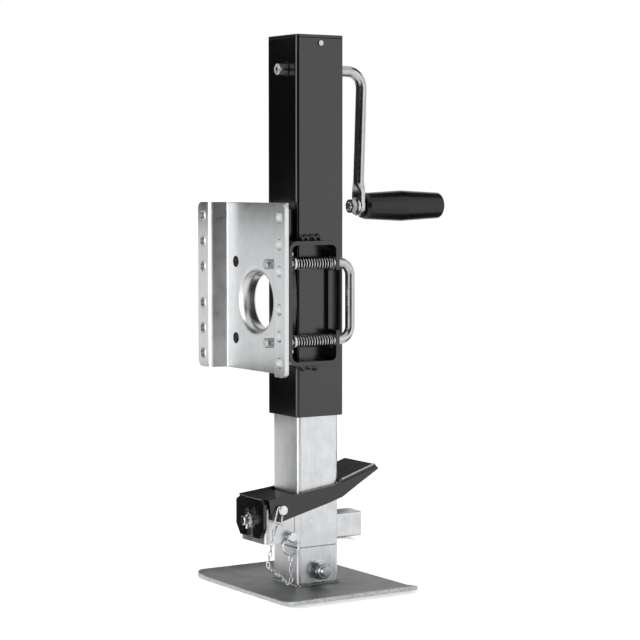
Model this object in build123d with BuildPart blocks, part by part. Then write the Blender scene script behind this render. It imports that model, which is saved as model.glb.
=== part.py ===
"""Square-tube side-wind trailer prop stand with a swivel bracket and a pedal-released drop leg.

Millimetres. +Z is up, the origin is on the underside of the foot plate, on the tube's axis.
-X is the side of the mounting bracket, +X is the side of the crank grip, and -Y is the side
where the locking handle and the foot bolt's nut are.
"""

from math import asin, atan2, cos, degrees, hypot, pi, radians, sin, tan
import os

from build123d import *

# Outer tube and its cap
tube_side = 63.5
tube_wall = 3.2
tube_low = 200.0
stand_height = 633.0
cap_thick = 3.5
cap_skirt_depth = 12.0
cap_skirt_wall = 2.0
cap_screw_radius = 3.0
screw_fit = 0.03
tube_corner = 4.0

# Telescoping leg, drop leg and foot
leg_side = 55.0
leg_wall = 3.0
leg_top_drop = 69.5
drop_side = 47.5
drop_wall = 3.0
drop_rise = 325.0
socket_wall = 3.5
socket_height = 44.4
foot_size_x = 172.0
foot_size_y = 222.0
foot_thick = 5.0
foot_corner = 12.0
foot_curl_width = 30.0
foot_curl_rise = 4.0
foot_bolt_radius = 6.0
foot_bolt_height = 22.0
foot_bolt_over = 18.0
seat_gap = 0.5
socket_weld_size = 3.0
fold_radius = 3.5
leg_corner = 4.3
tube_inner_corner = 0.8

# Swivel bracket
bracket_height = 191.0
bracket_low = 253.0
bracket_thick = 5.2
flange_front_x = -87.5
main_plate_front_x = -67.0
flange_edge_y = 95.5
flange_bend_y = 70.0
main_bend_y = 62.5
bracket_bend = 8.0
bracket_corner = 8.0
bolt_column_y = 84.0
bolt_hole_radius = 6.4
bolt_pitch = 29.4
bolt_middle_gap = 42.0
swivel_z = 332.0
pin_square = 44.0
pin_hole_radius = 6.4
collar_bore_radius = 31.0
collar_wall = 4.5
collar_end_x = -47.0
collar_lip = 5.5
collar_mouth_round = 10.5

# Swivel plate, its spacers and the frame for the locking handle
swivel_plate_thick = 6.0
swivel_plate_low = 262.0
swivel_plate_high = 438.0
swivel_plate_half_y = 53.0
swivel_plate_corner = 10.0
swivel_rim_wall = 4.3
swivel_rim_end_x = -42.0
swivel_rim_gap = 3.0
rim_to_frame = 0.3
swivel_gap = 0.3
spacer_half_y = 24.0
spacer_wall = 5.0
spacer_low = (263.0, 281.0)
spacer_high = (383.0, 436.0)
frame_right_x = 12.0
frame_low = 261.0
frame_high = 401.0
frame_thick = 4.5
frame_depth = 21.5
frame_corner = 11.0
frame_notch_low = 299.5
frame_notch_high = 368.0
frame_notch_left = 5.0
frame_notch_corner = 2.0
frame_weld_mid_x = -16.0
frame_weld_top = 15.5
frame_weld_low = 13.5
frame_weld_size = 5.5

# Locking handle, its springs and their stops
handle_radius = 5.5
handle_y = -44.0
handle_tip_x = -82.0
handle_grip_x = 32.0
handle_bend = 15.0
handle_hole_clearance = 0.4
spring_left_x = -44.5
spring_wire = 1.8
spring_coils = 15
spring_outer_radius = 7.85
stop_thick = 1.6
stop_radius = 8.4
stop_pin_radius = 1.3
stop_pin_over = 3.0
pin_eye_radius = 3.4
pin_eye_bore = 2.0

# Crank, hand grip and gears
cap_to_shaft = 39.0
shaft_y = -7.0
shaft_radius = 6.35
shaft_end_x = -43.0
arm_x = 68.6
arm_lean = 1.9
crank_bend = 19.0
paddle_thick = 7.0
paddle_width = 22.0
crank_reach = 155.0
paddle_round_rise = 29.0
paddle_flat_rise = 14.0
bush_wall = 1.9
bush_flange_radius = 9.0
bush_flange = 1.2
running_clearance = 0.08
pin_fit = 0.05
grip_gap = 0.6
grip_length = 110.0
grip_end_radius = 15.4
grip_middle_radius = 18.0
grip_end_round = 3.2
grip_bolt_radius = 5.0
grip_bolt_head_radius = 8.0
grip_bolt_head = 6.0
grip_bolt_sink = 3.0
grip_nut_length = 6.5
grip_nut_flange = 1.4
grip_nut_corner = 9.2
grip_washer_thick = 1.6
module_size = 2.0
pinion_teeth = 12
gear_teeth = 18
tooth_face = 6.0
tooth_backlash = 0.05
screw_radius = 9.5
screw_low = 206.0
shaft_to_bearing = 39.0
bearing_plate_thick = 8.0
race_thick = 3.0
roller_radius = 2.2
roller_count = 8
roller_length = 8.0
race_radius = 17.0
nut_height = 26.0
nut_hub_radius = 16.0
gear_pin_radius = 1.9
gear_hub_radius = 12.0
journal_radius = 7.5
shaft_collar_radius = 10.0
shaft_collar_width = 7.0

# Pedal, its pivot, the plunger and the housing behind them
pedal_half_y = 33.0
pedal_thick = 4.0
pedal_front_x = -75.4
pedal_end_half_y = 30.4
pedal_top_z = 108.4
pedal_top_rise = 4.2
pedal_top_end_x = -35.0
pedal_low_z = 64.0
pedal_chamfer_top = 8.0
pedal_chamfer_low = 9.0
pivot_x = -53.0
pivot_z = 96.5
pivot_radius = 5.0
pin_head_radius = 5.9
pin_head = 4.5
pin_end_reach = 7.0
pad_slope = 17.3
pedal_leg_gap = 1.0
pad_end_x = 76.0
pad_start_z = 124.6
pad_grit_thick = 0.8
pad_edge_step = 3.2
pedal_fold = 3.4
pad_edge_inset = 1.6
pedal_rest_gap = 0.4
arm_front_gap = 1.5
housing_wall = 4.0
housing_low = 57.5
seam_x = -32.3
seam_groove = 0.7
seam_high = 93.0
housing_web_high = 92.0
housing_ear_high = 104.5
plunger_z = 83.0
plunger_radius = 5.3
plunger_nose_radius = 7.0
plunger_shoulder_x = -40.0
plunger_tip_x = -15.0
plunger_end_x = -85.4
plunger_clearance = 0.25
plunger_washer_thick = 2.0
plunger_washer_radius = 8.5
plunger_spring_coils = 4
plunger_spring_wire = 2.0
lock_pin_x = -39.5
lock_pin_z = 64.6
lock_pin_radius = 4.7
stop_tube_side = 29.5
stop_tube_wall = 3.0
stop_tube_end_x = 68.0
stop_tube_z = 68.0
clip_strip = 1.6
clip_width = 9.0
clip_length = 32.0
clip_seat = 12.0
clip_drop = 3.0
clip_y = -3.0
clip_hole = 1.8

# Values worked out from the ones above
tube_half = tube_side / 2
tube_high = stand_height - cap_thick
tube_inner_half = tube_half - tube_wall
leg_half = leg_side / 2
leg_low = foot_thick + socket_height + seat_gap
shaft_z = stand_height - cap_to_shaft
bearing_plate_low = shaft_z - shaft_to_bearing
leg_high = bearing_plate_low - leg_top_drop
grip_axis_z = shaft_z - crank_reach
paddle_round_z = grip_axis_z + paddle_round_rise
paddle_flat_z = grip_axis_z + paddle_flat_rise
drop_low = foot_thick + seat_gap
pad_start_x = leg_half + pedal_leg_gap
bracket_high = bracket_low + bracket_height
bracket_mid = (bracket_low + bracket_high) / 2
main_plate_back_x = main_plate_front_x + bracket_thick
swivel_outer_x = main_plate_back_x + swivel_gap
swivel_inner_x = swivel_outer_x + swivel_plate_thick
collar_radius = collar_bore_radius + collar_wall
rim_bore = collar_radius + collar_lip + swivel_rim_gap
rim_radius = rim_bore + swivel_rim_wall
frame_left_x = swivel_inner_x
frame_mid_z = (frame_low + frame_high) / 2
frame_front_y = -tube_half - frame_depth
spring_right_x = frame_right_x - frame_thick - stop_thick
pin_levels = (swivel_z - pin_square, swivel_z + pin_square)
pitch_radius_gear = module_size * gear_teeth / 2
pitch_radius_pinion = module_size * pinion_teeth / 2
flat_x = arm_x + paddle_thick / 2
housing_front_x = pedal_front_x + pedal_thick + pedal_rest_gap
pedal_top_slope = pedal_top_rise / (pedal_top_end_x - pedal_front_x)
stop_pin_x = spring_left_x - stop_thick - stop_pin_radius - 2 * pin_fit
pinion_back_x = pitch_radius_gear
pinion_hub_x = tube_inner_half - 3.5
pinion_hub_radius = pitch_radius_pinion - 1.5
pinion_pin_x = (pinion_back_x + pinion_hub_x) / 2
shaft_collar_x = -tube_inner_half + 3.4
shaft_collar_pin_x = shaft_collar_x + shaft_collar_width / 2
gear_back_z = shaft_z - pitch_radius_pinion
race_low = bearing_plate_low + bearing_plate_thick
race_high = race_low + 2 * race_thick + 2 * roller_radius
gear_pin_z = (race_high + gear_back_z) / 2
pedal_inner_y = pedal_half_y - pedal_thick

os.makedirs("parts", exist_ok=True)
kept = []


def keep(piece, label):
    """Label a finished sub-part and write it to its own file."""
    piece.part.label = label
    export_step(piece.part, f"parts/{label}.step")
    kept.append(piece.part)


def round_bar(x0, x1, y, z, radius, axis=Axis.X, mode=Mode.ADD):
    """A straight bar from x0 to x1 along an axis, through the point given by the other two values."""
    plane = {
        Axis.X: Plane(origin=(x0, y, z), z_dir=(1, 0, 0)),
        Axis.Y: Plane(origin=(y, x0, z), z_dir=(0, 1, 0)),
        Axis.Z: Plane(origin=(y, z, x0), z_dir=(0, 0, 1)),
    }[axis]
    with BuildSketch(plane) as section:
        Circle(radius)
    extrude(section.sketch, amount=x1 - x0, mode=mode)


def square_tube(low, high, side, wall, corner):
    """An upright square tube with rounded outer and inner corners."""
    with BuildSketch(Plane.XY.offset(low)) as section:
        RectangleRounded(side, side, corner)
        inner = side - 2 * wall
        RectangleRounded(inner, inner, tube_inner_corner, mode=Mode.SUBTRACT)
    extrude(section.sketch, amount=high - low)


def rod_bend(start, heading, side, bend_radius, radius, turn=90):
    """A bend of round rod, a quarter turn unless told: it leaves start along heading, toward side."""
    with BuildSketch(Plane(origin=start, z_dir=heading)) as section:
        Circle(radius)
    centre = Vector(*start) + Vector(*side) * bend_radius
    turn_axis = Vector(*heading).cross(Vector(*side))
    revolve(section.sketch, axis=Axis(centre, turn_axis), revolution_arc=turn)


# Outer tube: bores for the crank shaft and holes for the cap screws
with BuildPart() as outer_tube:
    square_tube(tube_low, tube_high, tube_side, tube_wall, tube_corner)
    bush_radius = shaft_radius + running_clearance + bush_wall
    round_bar(-tube_half - 1, tube_half + 1, shaft_y, shaft_z, bush_radius, mode=Mode.SUBTRACT)
    screw_z = tube_high - cap_skirt_depth / 2
    round_bar(-tube_half - 1, tube_half + 1, 0, screw_z, cap_screw_radius * 0.6, Axis.Y, Mode.SUBTRACT)
keep(outer_tube, "outer_tube")

with BuildPart() as top_cap:
    with BuildSketch(Plane.XY.offset(tube_high)):
        RectangleRounded(tube_side, tube_side, tube_corner)
    extrude(amount=cap_thick)
    chamfer(top_cap.edges().group_by(Axis.Z)[-1], 0.8)
    with BuildSketch(Plane.XY.offset(tube_high - cap_skirt_depth)):
        skirt = 2 * (tube_inner_half - 0.2)
        RectangleRounded(skirt, skirt, tube_inner_corner + 0.5)
        Rectangle(skirt - 2 * cap_skirt_wall, skirt - 2 * cap_skirt_wall, mode=Mode.SUBTRACT)
    extrude(amount=cap_skirt_depth)
    round_bar(-tube_half, tube_half, 0, screw_z, cap_screw_radius * 0.6, Axis.Y, Mode.SUBTRACT)
keep(top_cap, "top_cap")

with BuildPart() as cap_screws:
    for side in (-1, 1):
        face_y = side * tube_half
        shank_end = side * (tube_inner_half - cap_skirt_wall - 1)
        low, high = sorted((face_y, shank_end))
        round_bar(low, high, 0, screw_z, cap_screw_radius * 0.6 - screw_fit, Axis.Y)
        low, high = sorted((face_y, face_y + side * 1.6))
        round_bar(low, high, 0, screw_z, cap_screw_radius, Axis.Y)
keep(cap_screws, "cap_screws")

# Swivel bracket: a folded hat section with a drawn collar that carries the jack
with BuildPart() as mount_bracket:
    with BuildSketch(Plane.XY.offset(bracket_low)):
        wall_lean = atan2(flange_bend_y - main_bend_y, main_plate_front_x - flange_front_x)
        shift = bracket_thick * tan((pi / 2 - wall_lean) / 2)
        with BuildLine():
            Polyline(
                (flange_front_x, flange_edge_y),
                (flange_front_x, flange_bend_y),
                (main_plate_front_x, main_bend_y),
                (main_plate_front_x, -main_bend_y),
                (flange_front_x, -flange_bend_y),
                (flange_front_x, -flange_edge_y),
                (flange_front_x + bracket_thick, -flange_edge_y),
                (flange_front_x + bracket_thick, -flange_bend_y - shift),
                (main_plate_back_x, -main_bend_y - shift),
                (main_plate_back_x, main_bend_y + shift),
                (flange_front_x + bracket_thick, flange_bend_y + shift),
                (flange_front_x + bracket_thick, flange_edge_y),
                close=True,
            )
        make_face()
    extrude(amount=bracket_height)
    bends = [e for e in mount_bracket.edges().filter_by(Axis.Z) if abs(e.center().Y) < flange_edge_y - 1]
    outer_x = (flange_front_x, main_plate_back_x)
    inner_x = (main_plate_front_x, flange_front_x + bracket_thick)
    outside = [e for e in bends if min(abs(e.center().X - x) for x in outer_x) < 0.1]
    inside = [e for e in bends if min(abs(e.center().X - x) for x in inner_x) < 0.1]
    fillet(outside, bracket_bend)
    fillet(inside, bracket_bend - bracket_thick)
    corner_edges = [
        e
        for e in mount_bracket.edges().filter_by(Axis.X)
        if abs(abs(e.center().Y) - flange_edge_y) < 0.1
    ]
    fillet(corner_edges, bracket_corner)
    # collar revolved about the swivel axis
    with BuildSketch(Plane(origin=(0, 0, swivel_z), x_dir=(1, 0, 0), z_dir=(0, -1, 0))):
        with BuildLine():
            lip_x = swivel_inner_x + swivel_gap
            Polyline(
                (main_plate_front_x, collar_bore_radius + collar_mouth_round + 1),
                (main_plate_front_x, collar_bore_radius),
                (collar_end_x - 3, collar_bore_radius),
                (collar_end_x, collar_bore_radius + 2.5),
                (collar_end_x, collar_radius + 2),
                (lip_x + 2.5, collar_radius + collar_lip),
                (lip_x, collar_radius + collar_lip),
                (lip_x, collar_radius),
                (main_plate_back_x, collar_radius),
                (main_plate_back_x, collar_bore_radius + collar_mouth_round + 1),
                close=True,
            )
        make_face()
    revolve(axis=Axis((0, 0, swivel_z), (1, 0, 0)))
    round_bar(main_plate_front_x - 1, collar_end_x + 1, 0, swivel_z, collar_bore_radius, mode=Mode.SUBTRACT)
    mouth = [
        e
        for e in mount_bracket.edges().filter_by(GeomType.CIRCLE)
        if abs(e.center().X - main_plate_front_x) < 0.1 and abs(e.radius - collar_bore_radius) < 0.1
    ]
    fillet(mouth, collar_mouth_round)
    for y in (-pin_square, pin_square):
        for z in pin_levels:
            through = (main_plate_front_x - 1, main_plate_back_x + 1)
            round_bar(*through, y, z, pin_hole_radius, mode=Mode.SUBTRACT)
    first_bolt = bolt_middle_gap / 2
    bolt_levels = [bracket_mid + s * (first_bolt + n * bolt_pitch) for s in (-1, 1) for n in range(3)]
    for y in (-bolt_column_y, bolt_column_y):
        for z in bolt_levels:
            through = (flange_front_x - 1, flange_front_x + bracket_thick + 1)
            round_bar(*through, y, z, bolt_hole_radius, mode=Mode.SUBTRACT)
keep(mount_bracket, "mount_bracket")

# Swivel plate welded to the tube through its spacers, behind the bracket
with BuildPart() as swivel_plate:
    plate_mid = (swivel_plate_low + swivel_plate_high) / 2
    with BuildSketch(Plane(origin=(swivel_outer_x, 0, plate_mid), x_dir=(0, 1, 0), z_dir=(1, 0, 0))):
        RectangleRounded(2 * swivel_plate_half_y, swivel_plate_high - swivel_plate_low, swivel_plate_corner)
        with Locations((0, swivel_z - plate_mid)):
            Circle(collar_radius + 0.6, mode=Mode.SUBTRACT)
        for z in pin_levels:
            with Locations((handle_y, z - plate_mid)):
                Circle(handle_radius + handle_hole_clearance, mode=Mode.SUBTRACT)
    extrude(amount=swivel_plate_thick)
    # a raised rim round the hole shields the lip of the bracket's collar
    with BuildSketch(Plane(origin=(swivel_inner_x, 0, swivel_z), z_dir=(1, 0, 0))):
        Circle(rim_radius)
        Circle(rim_bore, mode=Mode.SUBTRACT)
    extrude(amount=swivel_rim_end_x - swivel_inner_x)
keep(swivel_plate, "swivel_plate")

with BuildPart() as plate_spacers:
    for low, high in (spacer_low, spacer_high):
        with BuildSketch(Plane.XY.offset(low)):
            with Locations(((swivel_inner_x - tube_half) / 2, 0)):
                width = -tube_half - swivel_inner_x
                Rectangle(width, 2 * spacer_half_y)
                Rectangle(width, 2 * (spacer_half_y - spacer_wall), mode=Mode.SUBTRACT)
        extrude(amount=high - low)
keep(plate_spacers, "plate_spacers")

# Frame that holds the locking handle: one bent strip with notched side walls
with BuildPart() as pin_frame:
    frame_width = frame_right_x - frame_left_x
    frame_tall = frame_high - frame_low
    centre_x = (frame_right_x + frame_left_x) / 2
    with BuildSketch(Plane(origin=(centre_x, -tube_half, frame_mid_z), x_dir=(1, 0, 0), z_dir=(0, -1, 0))):
        RectangleRounded(frame_width, frame_tall, frame_corner)
        RectangleRounded(
            frame_width - 2 * frame_thick,
            frame_tall - 2 * frame_thick,
            frame_corner - frame_thick,
            mode=Mode.SUBTRACT,
        )
    extrude(amount=frame_depth)
    # the right wall is cut away for the hand between the two pins, the left wall clears the plate's rim
    notch_base_y = -tube_half - frame_notch_left
    notch_reach = notch_base_y - frame_front_y + 2 * frame_notch_corner
    notch_mid_z = (frame_notch_low + frame_notch_high) / 2
    with BuildSketch(Plane(origin=(frame_right_x - frame_thick - 1, 0, 0), x_dir=(0, 1, 0), z_dir=(1, 0, 0))):
        with Locations((notch_base_y - notch_reach / 2, notch_mid_z)):
            RectangleRounded(notch_reach, frame_notch_high - frame_notch_low, frame_notch_corner)
    extrude(amount=frame_thick + 2, mode=Mode.SUBTRACT)
    rim_cut = rim_radius + rim_to_frame
    round_bar(frame_left_x - 1, swivel_rim_end_x + 1, 0, swivel_z, rim_cut, mode=Mode.SUBTRACT)
    through = (frame_left_x - 1, frame_right_x + 1)
    for z in pin_levels:
        round_bar(*through, handle_y, z, handle_radius + handle_hole_clearance, mode=Mode.SUBTRACT)
keep(pin_frame, "pin_frame")

# Weld runs that hold the frame to the tube
with BuildPart() as frame_welds:
    for z, side, reach in ((frame_high, 1, frame_weld_top), (frame_low, -1, frame_weld_low)):
        weld_start = (frame_weld_mid_x - reach, -tube_half, z)
        with BuildSketch(Plane(origin=weld_start, x_dir=(0, -1, 0), z_dir=(1, 0, 0))):
            with BuildLine():
                Line((0, 0), (frame_weld_size, 0))
                RadiusArc((frame_weld_size, 0), (0, -side * frame_weld_size), 1.5 * frame_weld_size * side)
                Line((0, -side * frame_weld_size), (0, 0))
            make_face()
        extrude(amount=2 * reach)
keep(frame_welds, "frame_welds")

# Locking handle: one rod bent to a U, its two ends are the locking pins
with BuildPart() as pull_handle:
    leg_end_x = handle_grip_x - handle_bend
    for side, z in zip((-1, 1), pin_levels):
        round_bar(handle_tip_x, leg_end_x, handle_y, z, handle_radius)
        rod_bend((leg_end_x, handle_y, z), (1, 0, 0), (0, 0, -side), handle_bend, handle_radius)
    grip_span = (pin_levels[0] + handle_bend, pin_levels[1] - handle_bend)
    round_bar(*grip_span, handle_grip_x, handle_y, handle_radius, Axis.Z)
    chamfer(pull_handle.faces().group_by(Axis.X)[0].edges(), 1.6)
    for z in pin_levels:
        through = (z - handle_radius - 1, z + handle_radius + 1)
        round_bar(*through, stop_pin_x, handle_y, stop_pin_radius + pin_fit, Axis.Z, Mode.SUBTRACT)
keep(pull_handle, "pull_handle")


def spring_stops(face_x, bore):
    """A flat washer on each leg of the handle, its left face at face_x."""
    for z in pin_levels:
        with BuildSketch(Plane(origin=(face_x, handle_y, z), z_dir=(1, 0, 0))) as ring:
            Circle(stop_radius)
            Circle(bore, mode=Mode.SUBTRACT)
        extrude(ring.sketch, amount=stop_thick)


with BuildPart() as handle_washers:
    spring_stops(spring_left_x - stop_thick, handle_radius + 0.1)
keep(handle_washers, "handle_washers")

with BuildPart() as frame_washers:
    spring_stops(spring_right_x, handle_radius + handle_hole_clearance)
keep(frame_washers, "frame_washers")

with BuildPart() as handle_pins:
    pin_reach = handle_radius + stop_pin_over
    for side, z in zip((-1, 1), pin_levels):
        round_bar(z - pin_reach, z + pin_reach, stop_pin_x, handle_y, stop_pin_radius, Axis.Z)
        # an eye on the end away from the other pin
        eye_z = z + side * (pin_reach + pin_eye_bore + 0.3)
        with BuildSketch(Plane(origin=(stop_pin_x, handle_y, eye_z), z_dir=(1, 0, 0))):
            Circle(pin_eye_radius)
            Circle(pin_eye_bore, mode=Mode.SUBTRACT)
        extrude(amount=0.8 * stop_pin_radius, both=True)
keep(handle_pins, "handle_pins")


def coil_spring(x0, x1, y, z, outer_radius, wire, coils):
    """A compression spring along X: square wire in short straight runs that follow a helix."""
    mean_radius = outer_radius - wire / 2
    length = x1 - x0 - wire
    steps = 10
    turns = [(n / steps, x0 + wire / 2 + length * n / (coils * steps)) for n in range(coils * steps + 1)]
    points = [
        (x, y + mean_radius * cos(2 * pi * turn), z + mean_radius * sin(2 * pi * turn)) for turn, x in turns
    ]
    with BuildLine() as path:
        Polyline(*points)
    helix = path.wires()[0]
    with BuildSketch(Plane(origin=helix @ 0, z_dir=helix % 0)) as section:
        RegularPolygon(0.58 * wire, 4)
    sweep(section.sketch, path=helix, transition=Transition.RIGHT)


for name, level in zip(("lower_spring", "upper_spring"), pin_levels):
    with BuildPart() as pin_spring:
        coil_spring(
            spring_left_x + 0.1,
            spring_right_x - 0.1,
            handle_y,
            level,
            spring_outer_radius,
            spring_wire,
            spring_coils,
        )
    keep(pin_spring, name)

# Crank: one bent rod, its lower end forged flat for the grip bolt
with BuildPart() as crank_rod:
    lean = radians(arm_lean)
    arm_high = shaft_z - crank_bend * (1 + sin(lean))
    arm_run = (arm_high - paddle_round_z) / cos(lean)
    arm_high_x = arm_x + arm_run * sin(lean)
    bend_x = arm_high_x - crank_bend * cos(lean)
    round_bar(shaft_end_x, bend_x, shaft_y, shaft_z, shaft_radius)
    rod_bend((bend_x, shaft_y, shaft_z), (1, 0, 0), (0, 0, -1), crank_bend, shaft_radius, 90 + arm_lean)
    along = (-sin(lean), 0, -cos(lean))
    across = (cos(lean), 0, -sin(lean))
    with BuildSketch(Plane(origin=(arm_high_x, shaft_y, arm_high), x_dir=across, z_dir=along)):
        Circle(shaft_radius)
    extrude(amount=arm_run)
    with BuildSketch(Plane(origin=(arm_x, shaft_y, paddle_round_z), x_dir=across, z_dir=along)):
        Circle(shaft_radius)
    with BuildSketch(Plane(origin=(arm_x, shaft_y, paddle_flat_z), x_dir=(1, 0, 0), z_dir=(0, 0, -1))):
        RectangleRounded(paddle_thick, paddle_width - 2, 2.5)
    loft()
    with BuildSketch(Plane(origin=(arm_x - paddle_thick / 2, shaft_y, 0), x_dir=(0, 1, 0), z_dir=(1, 0, 0))):
        with Locations((0, (paddle_flat_z + grip_axis_z) / 2)):
            Rectangle(paddle_width - 2, paddle_flat_z - grip_axis_z)
        with Locations((0, grip_axis_z)):
            Circle(paddle_width / 2)
    extrude(amount=paddle_thick)
    round_bar(arm_x - 10, arm_x + 10, shaft_y, grip_axis_z, grip_bolt_radius + 0.15, mode=Mode.SUBTRACT)
    chamfer(crank_rod.faces().sort_by(Axis.X)[0].edges(), 1.0)
    for x in (pinion_pin_x, shaft_collar_pin_x):
        through = (shaft_z - shaft_radius - 1, shaft_z + shaft_radius + 1)
        round_bar(*through, x, shaft_y, gear_pin_radius + pin_fit, Axis.Z, Mode.SUBTRACT)
keep(crank_rod, "crank_rod")

with BuildPart() as shaft_bushes:
    for side in (-1, 1):
        inner_x = side * (tube_inner_half - 3)
        outer_x = side * tube_half
        low, high = sorted((inner_x, outer_x))
        round_bar(low, high, shaft_y, shaft_z, bush_radius - 0.05)
        low, high = sorted((outer_x, outer_x + side * bush_flange))
        round_bar(low, high, shaft_y, shaft_z, bush_flange_radius)
    through = (-tube_half - 5, tube_half + 5)
    round_bar(*through, shaft_y, shaft_z, shaft_radius + running_clearance, mode=Mode.SUBTRACT)
keep(shaft_bushes, "shaft_bushes")


def tooth_outline(teeth, pitch_angle, distance):
    """Corners of a bevel gear's section across its axis, at a distance from the cones' apex."""
    cone = hypot(pitch_radius_gear, pitch_radius_pinion)
    tip = distance * tan(pitch_angle + atan2(0.66 * module_size, cone))
    root = distance * tan(pitch_angle - atan2(1.2 * module_size, cone))
    step = 2 * pi / teeth
    half_tip = step * (0.25 - tooth_backlash) * 0.36
    half_root = step * (0.25 - tooth_backlash) * 1.22
    points = []
    for n in range(teeth):
        middle = n * step
        for radius, angle in (
            (root, middle - half_root),
            (tip, middle - half_tip),
            (tip, middle + half_tip),
            (root, middle + half_root),
        ):
            points.append((radius * cos(angle), radius * sin(angle)))
    return points


def bevel_teeth(apex, toward, teeth, pitch_radius, mate_radius, turn):
    """A bevel gear's toothed body: its section scaled toward the apex where the two axes meet."""
    pitch_angle = atan2(pitch_radius, mate_radius)
    back = mate_radius
    front = mate_radius - tooth_face * cos(pitch_angle)
    sections = []
    for distance in (back, front):
        origin = Vector(*apex) + Vector(*toward) * distance
        x_dir = (0, 1, 0) if abs(toward[0]) > 0.5 else (1, 0, 0)
        plane = Plane(origin=origin, x_dir=x_dir, z_dir=toward).rotated((0, 0, turn))
        with BuildSketch(plane) as section:
            with BuildLine():
                Polyline(*tooth_outline(teeth, pitch_angle, distance), close=True)
            make_face()
        sections.append(section.sketch)
    loft(sections, ruled=True)


apex = (0, shaft_y, shaft_z)
with BuildPart() as crank_pinion:
    bevel_teeth(apex, (1, 0, 0), pinion_teeth, pitch_radius_pinion, pitch_radius_gear, 0)
    round_bar(pinion_back_x, pinion_hub_x, shaft_y, shaft_z, pinion_hub_radius)
    round_bar(0, tube_half, shaft_y, shaft_z, shaft_radius + pin_fit, mode=Mode.SUBTRACT)
    through = (shaft_z - tube_half, shaft_z + tube_half)
    round_bar(*through, pinion_pin_x, shaft_y, gear_pin_radius + pin_fit, Axis.Z, Mode.SUBTRACT)
keep(crank_pinion, "crank_pinion")

with BuildPart() as shaft_collar:
    round_bar(shaft_collar_x, shaft_collar_x + shaft_collar_width, shaft_y, shaft_z, shaft_collar_radius)
    round_bar(-tube_half, 0, shaft_y, shaft_z, shaft_radius + pin_fit, mode=Mode.SUBTRACT)
    round_bar(*through, shaft_collar_pin_x, shaft_y, gear_pin_radius + pin_fit, Axis.Z, Mode.SUBTRACT)
keep(shaft_collar, "shaft_collar")

# Cross pins that fix the pinion and the collar on the shaft, a little short of their rims
with BuildPart() as shaft_pins:
    for x, rim in ((pinion_pin_x, pinion_hub_radius), (shaft_collar_pin_x, shaft_collar_radius)):
        reach = rim - 0.3
        round_bar(shaft_z - reach, shaft_z + reach, x, shaft_y, gear_pin_radius, Axis.Z)
keep(shaft_pins, "shaft_pins")

# Lift screw, thrust bearing and the bevel gear on top of the screw
with BuildPart() as lift_screw:
    round_bar(screw_low, bearing_plate_low - 0.5, 0, shaft_y, screw_radius, Axis.Z)
    cone = hypot(pitch_radius_gear, pitch_radius_pinion)
    gear_front_z = gear_back_z + tooth_face * pitch_radius_pinion / cone
    round_bar(bearing_plate_low - 0.5, gear_front_z, 0, shaft_y, journal_radius, Axis.Z)
    chamfer(lift_screw.faces().sort_by(Axis.Z)[0].edges(), 2)
    round_bar(-tube_half, tube_half, shaft_y, gear_pin_z, gear_pin_radius + pin_fit, mode=Mode.SUBTRACT)
keep(lift_screw, "lift_screw")

with BuildPart() as bevel_gear:
    bevel_teeth(apex, (0, 0, -1), gear_teeth, pitch_radius_gear, pitch_radius_pinion, 180 / gear_teeth)
    round_bar(race_high, gear_back_z, 0, shaft_y, gear_hub_radius, Axis.Z)
    round_bar(race_high - 1, shaft_z, 0, shaft_y, journal_radius + pin_fit, Axis.Z, Mode.SUBTRACT)
    round_bar(-tube_half, tube_half, shaft_y, gear_pin_z, gear_pin_radius + pin_fit, mode=Mode.SUBTRACT)
keep(bevel_gear, "bevel_gear")

with BuildPart() as gear_pin:
    reach = gear_hub_radius - 0.3
    round_bar(-reach, reach, shaft_y, gear_pin_z, gear_pin_radius)
keep(gear_pin, "gear_pin")

with BuildPart() as bearing_plate:
    with BuildSketch(Plane.XY.offset(bearing_plate_low)):
        plate_side = 2 * tube_inner_half - 0.4
        RectangleRounded(plate_side, plate_side, tube_inner_corner + 0.5)
        with Locations((0, shaft_y)):
            Circle(journal_radius + running_clearance, mode=Mode.SUBTRACT)
    extrude(amount=bearing_plate_thick)
keep(bearing_plate, "bearing_plate")

with BuildPart() as lower_race:
    round_bar(race_low, race_low + race_thick, 0, shaft_y, race_radius, Axis.Z)
    round_bar(race_low - 1, race_high, 0, shaft_y, journal_radius + 0.3, Axis.Z, Mode.SUBTRACT)
keep(lower_race, "lower_race")

with BuildPart() as thrust_rollers:
    roller_middle = (race_radius + journal_radius) / 2
    with Locations((0, shaft_y, race_low + race_thick + roller_radius)):
        with PolarLocations(roller_middle, roller_count):
            Cylinder(roller_radius - 0.02, roller_length, rotation=(0, 90, 0))
keep(thrust_rollers, "thrust_rollers")

with BuildPart() as upper_race:
    round_bar(race_high - race_thick, race_high, 0, shaft_y, race_radius, Axis.Z)
    round_bar(race_low - 1, race_high + 1, 0, shaft_y, journal_radius + 0.05, Axis.Z, Mode.SUBTRACT)
keep(upper_race, "upper_race")

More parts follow.
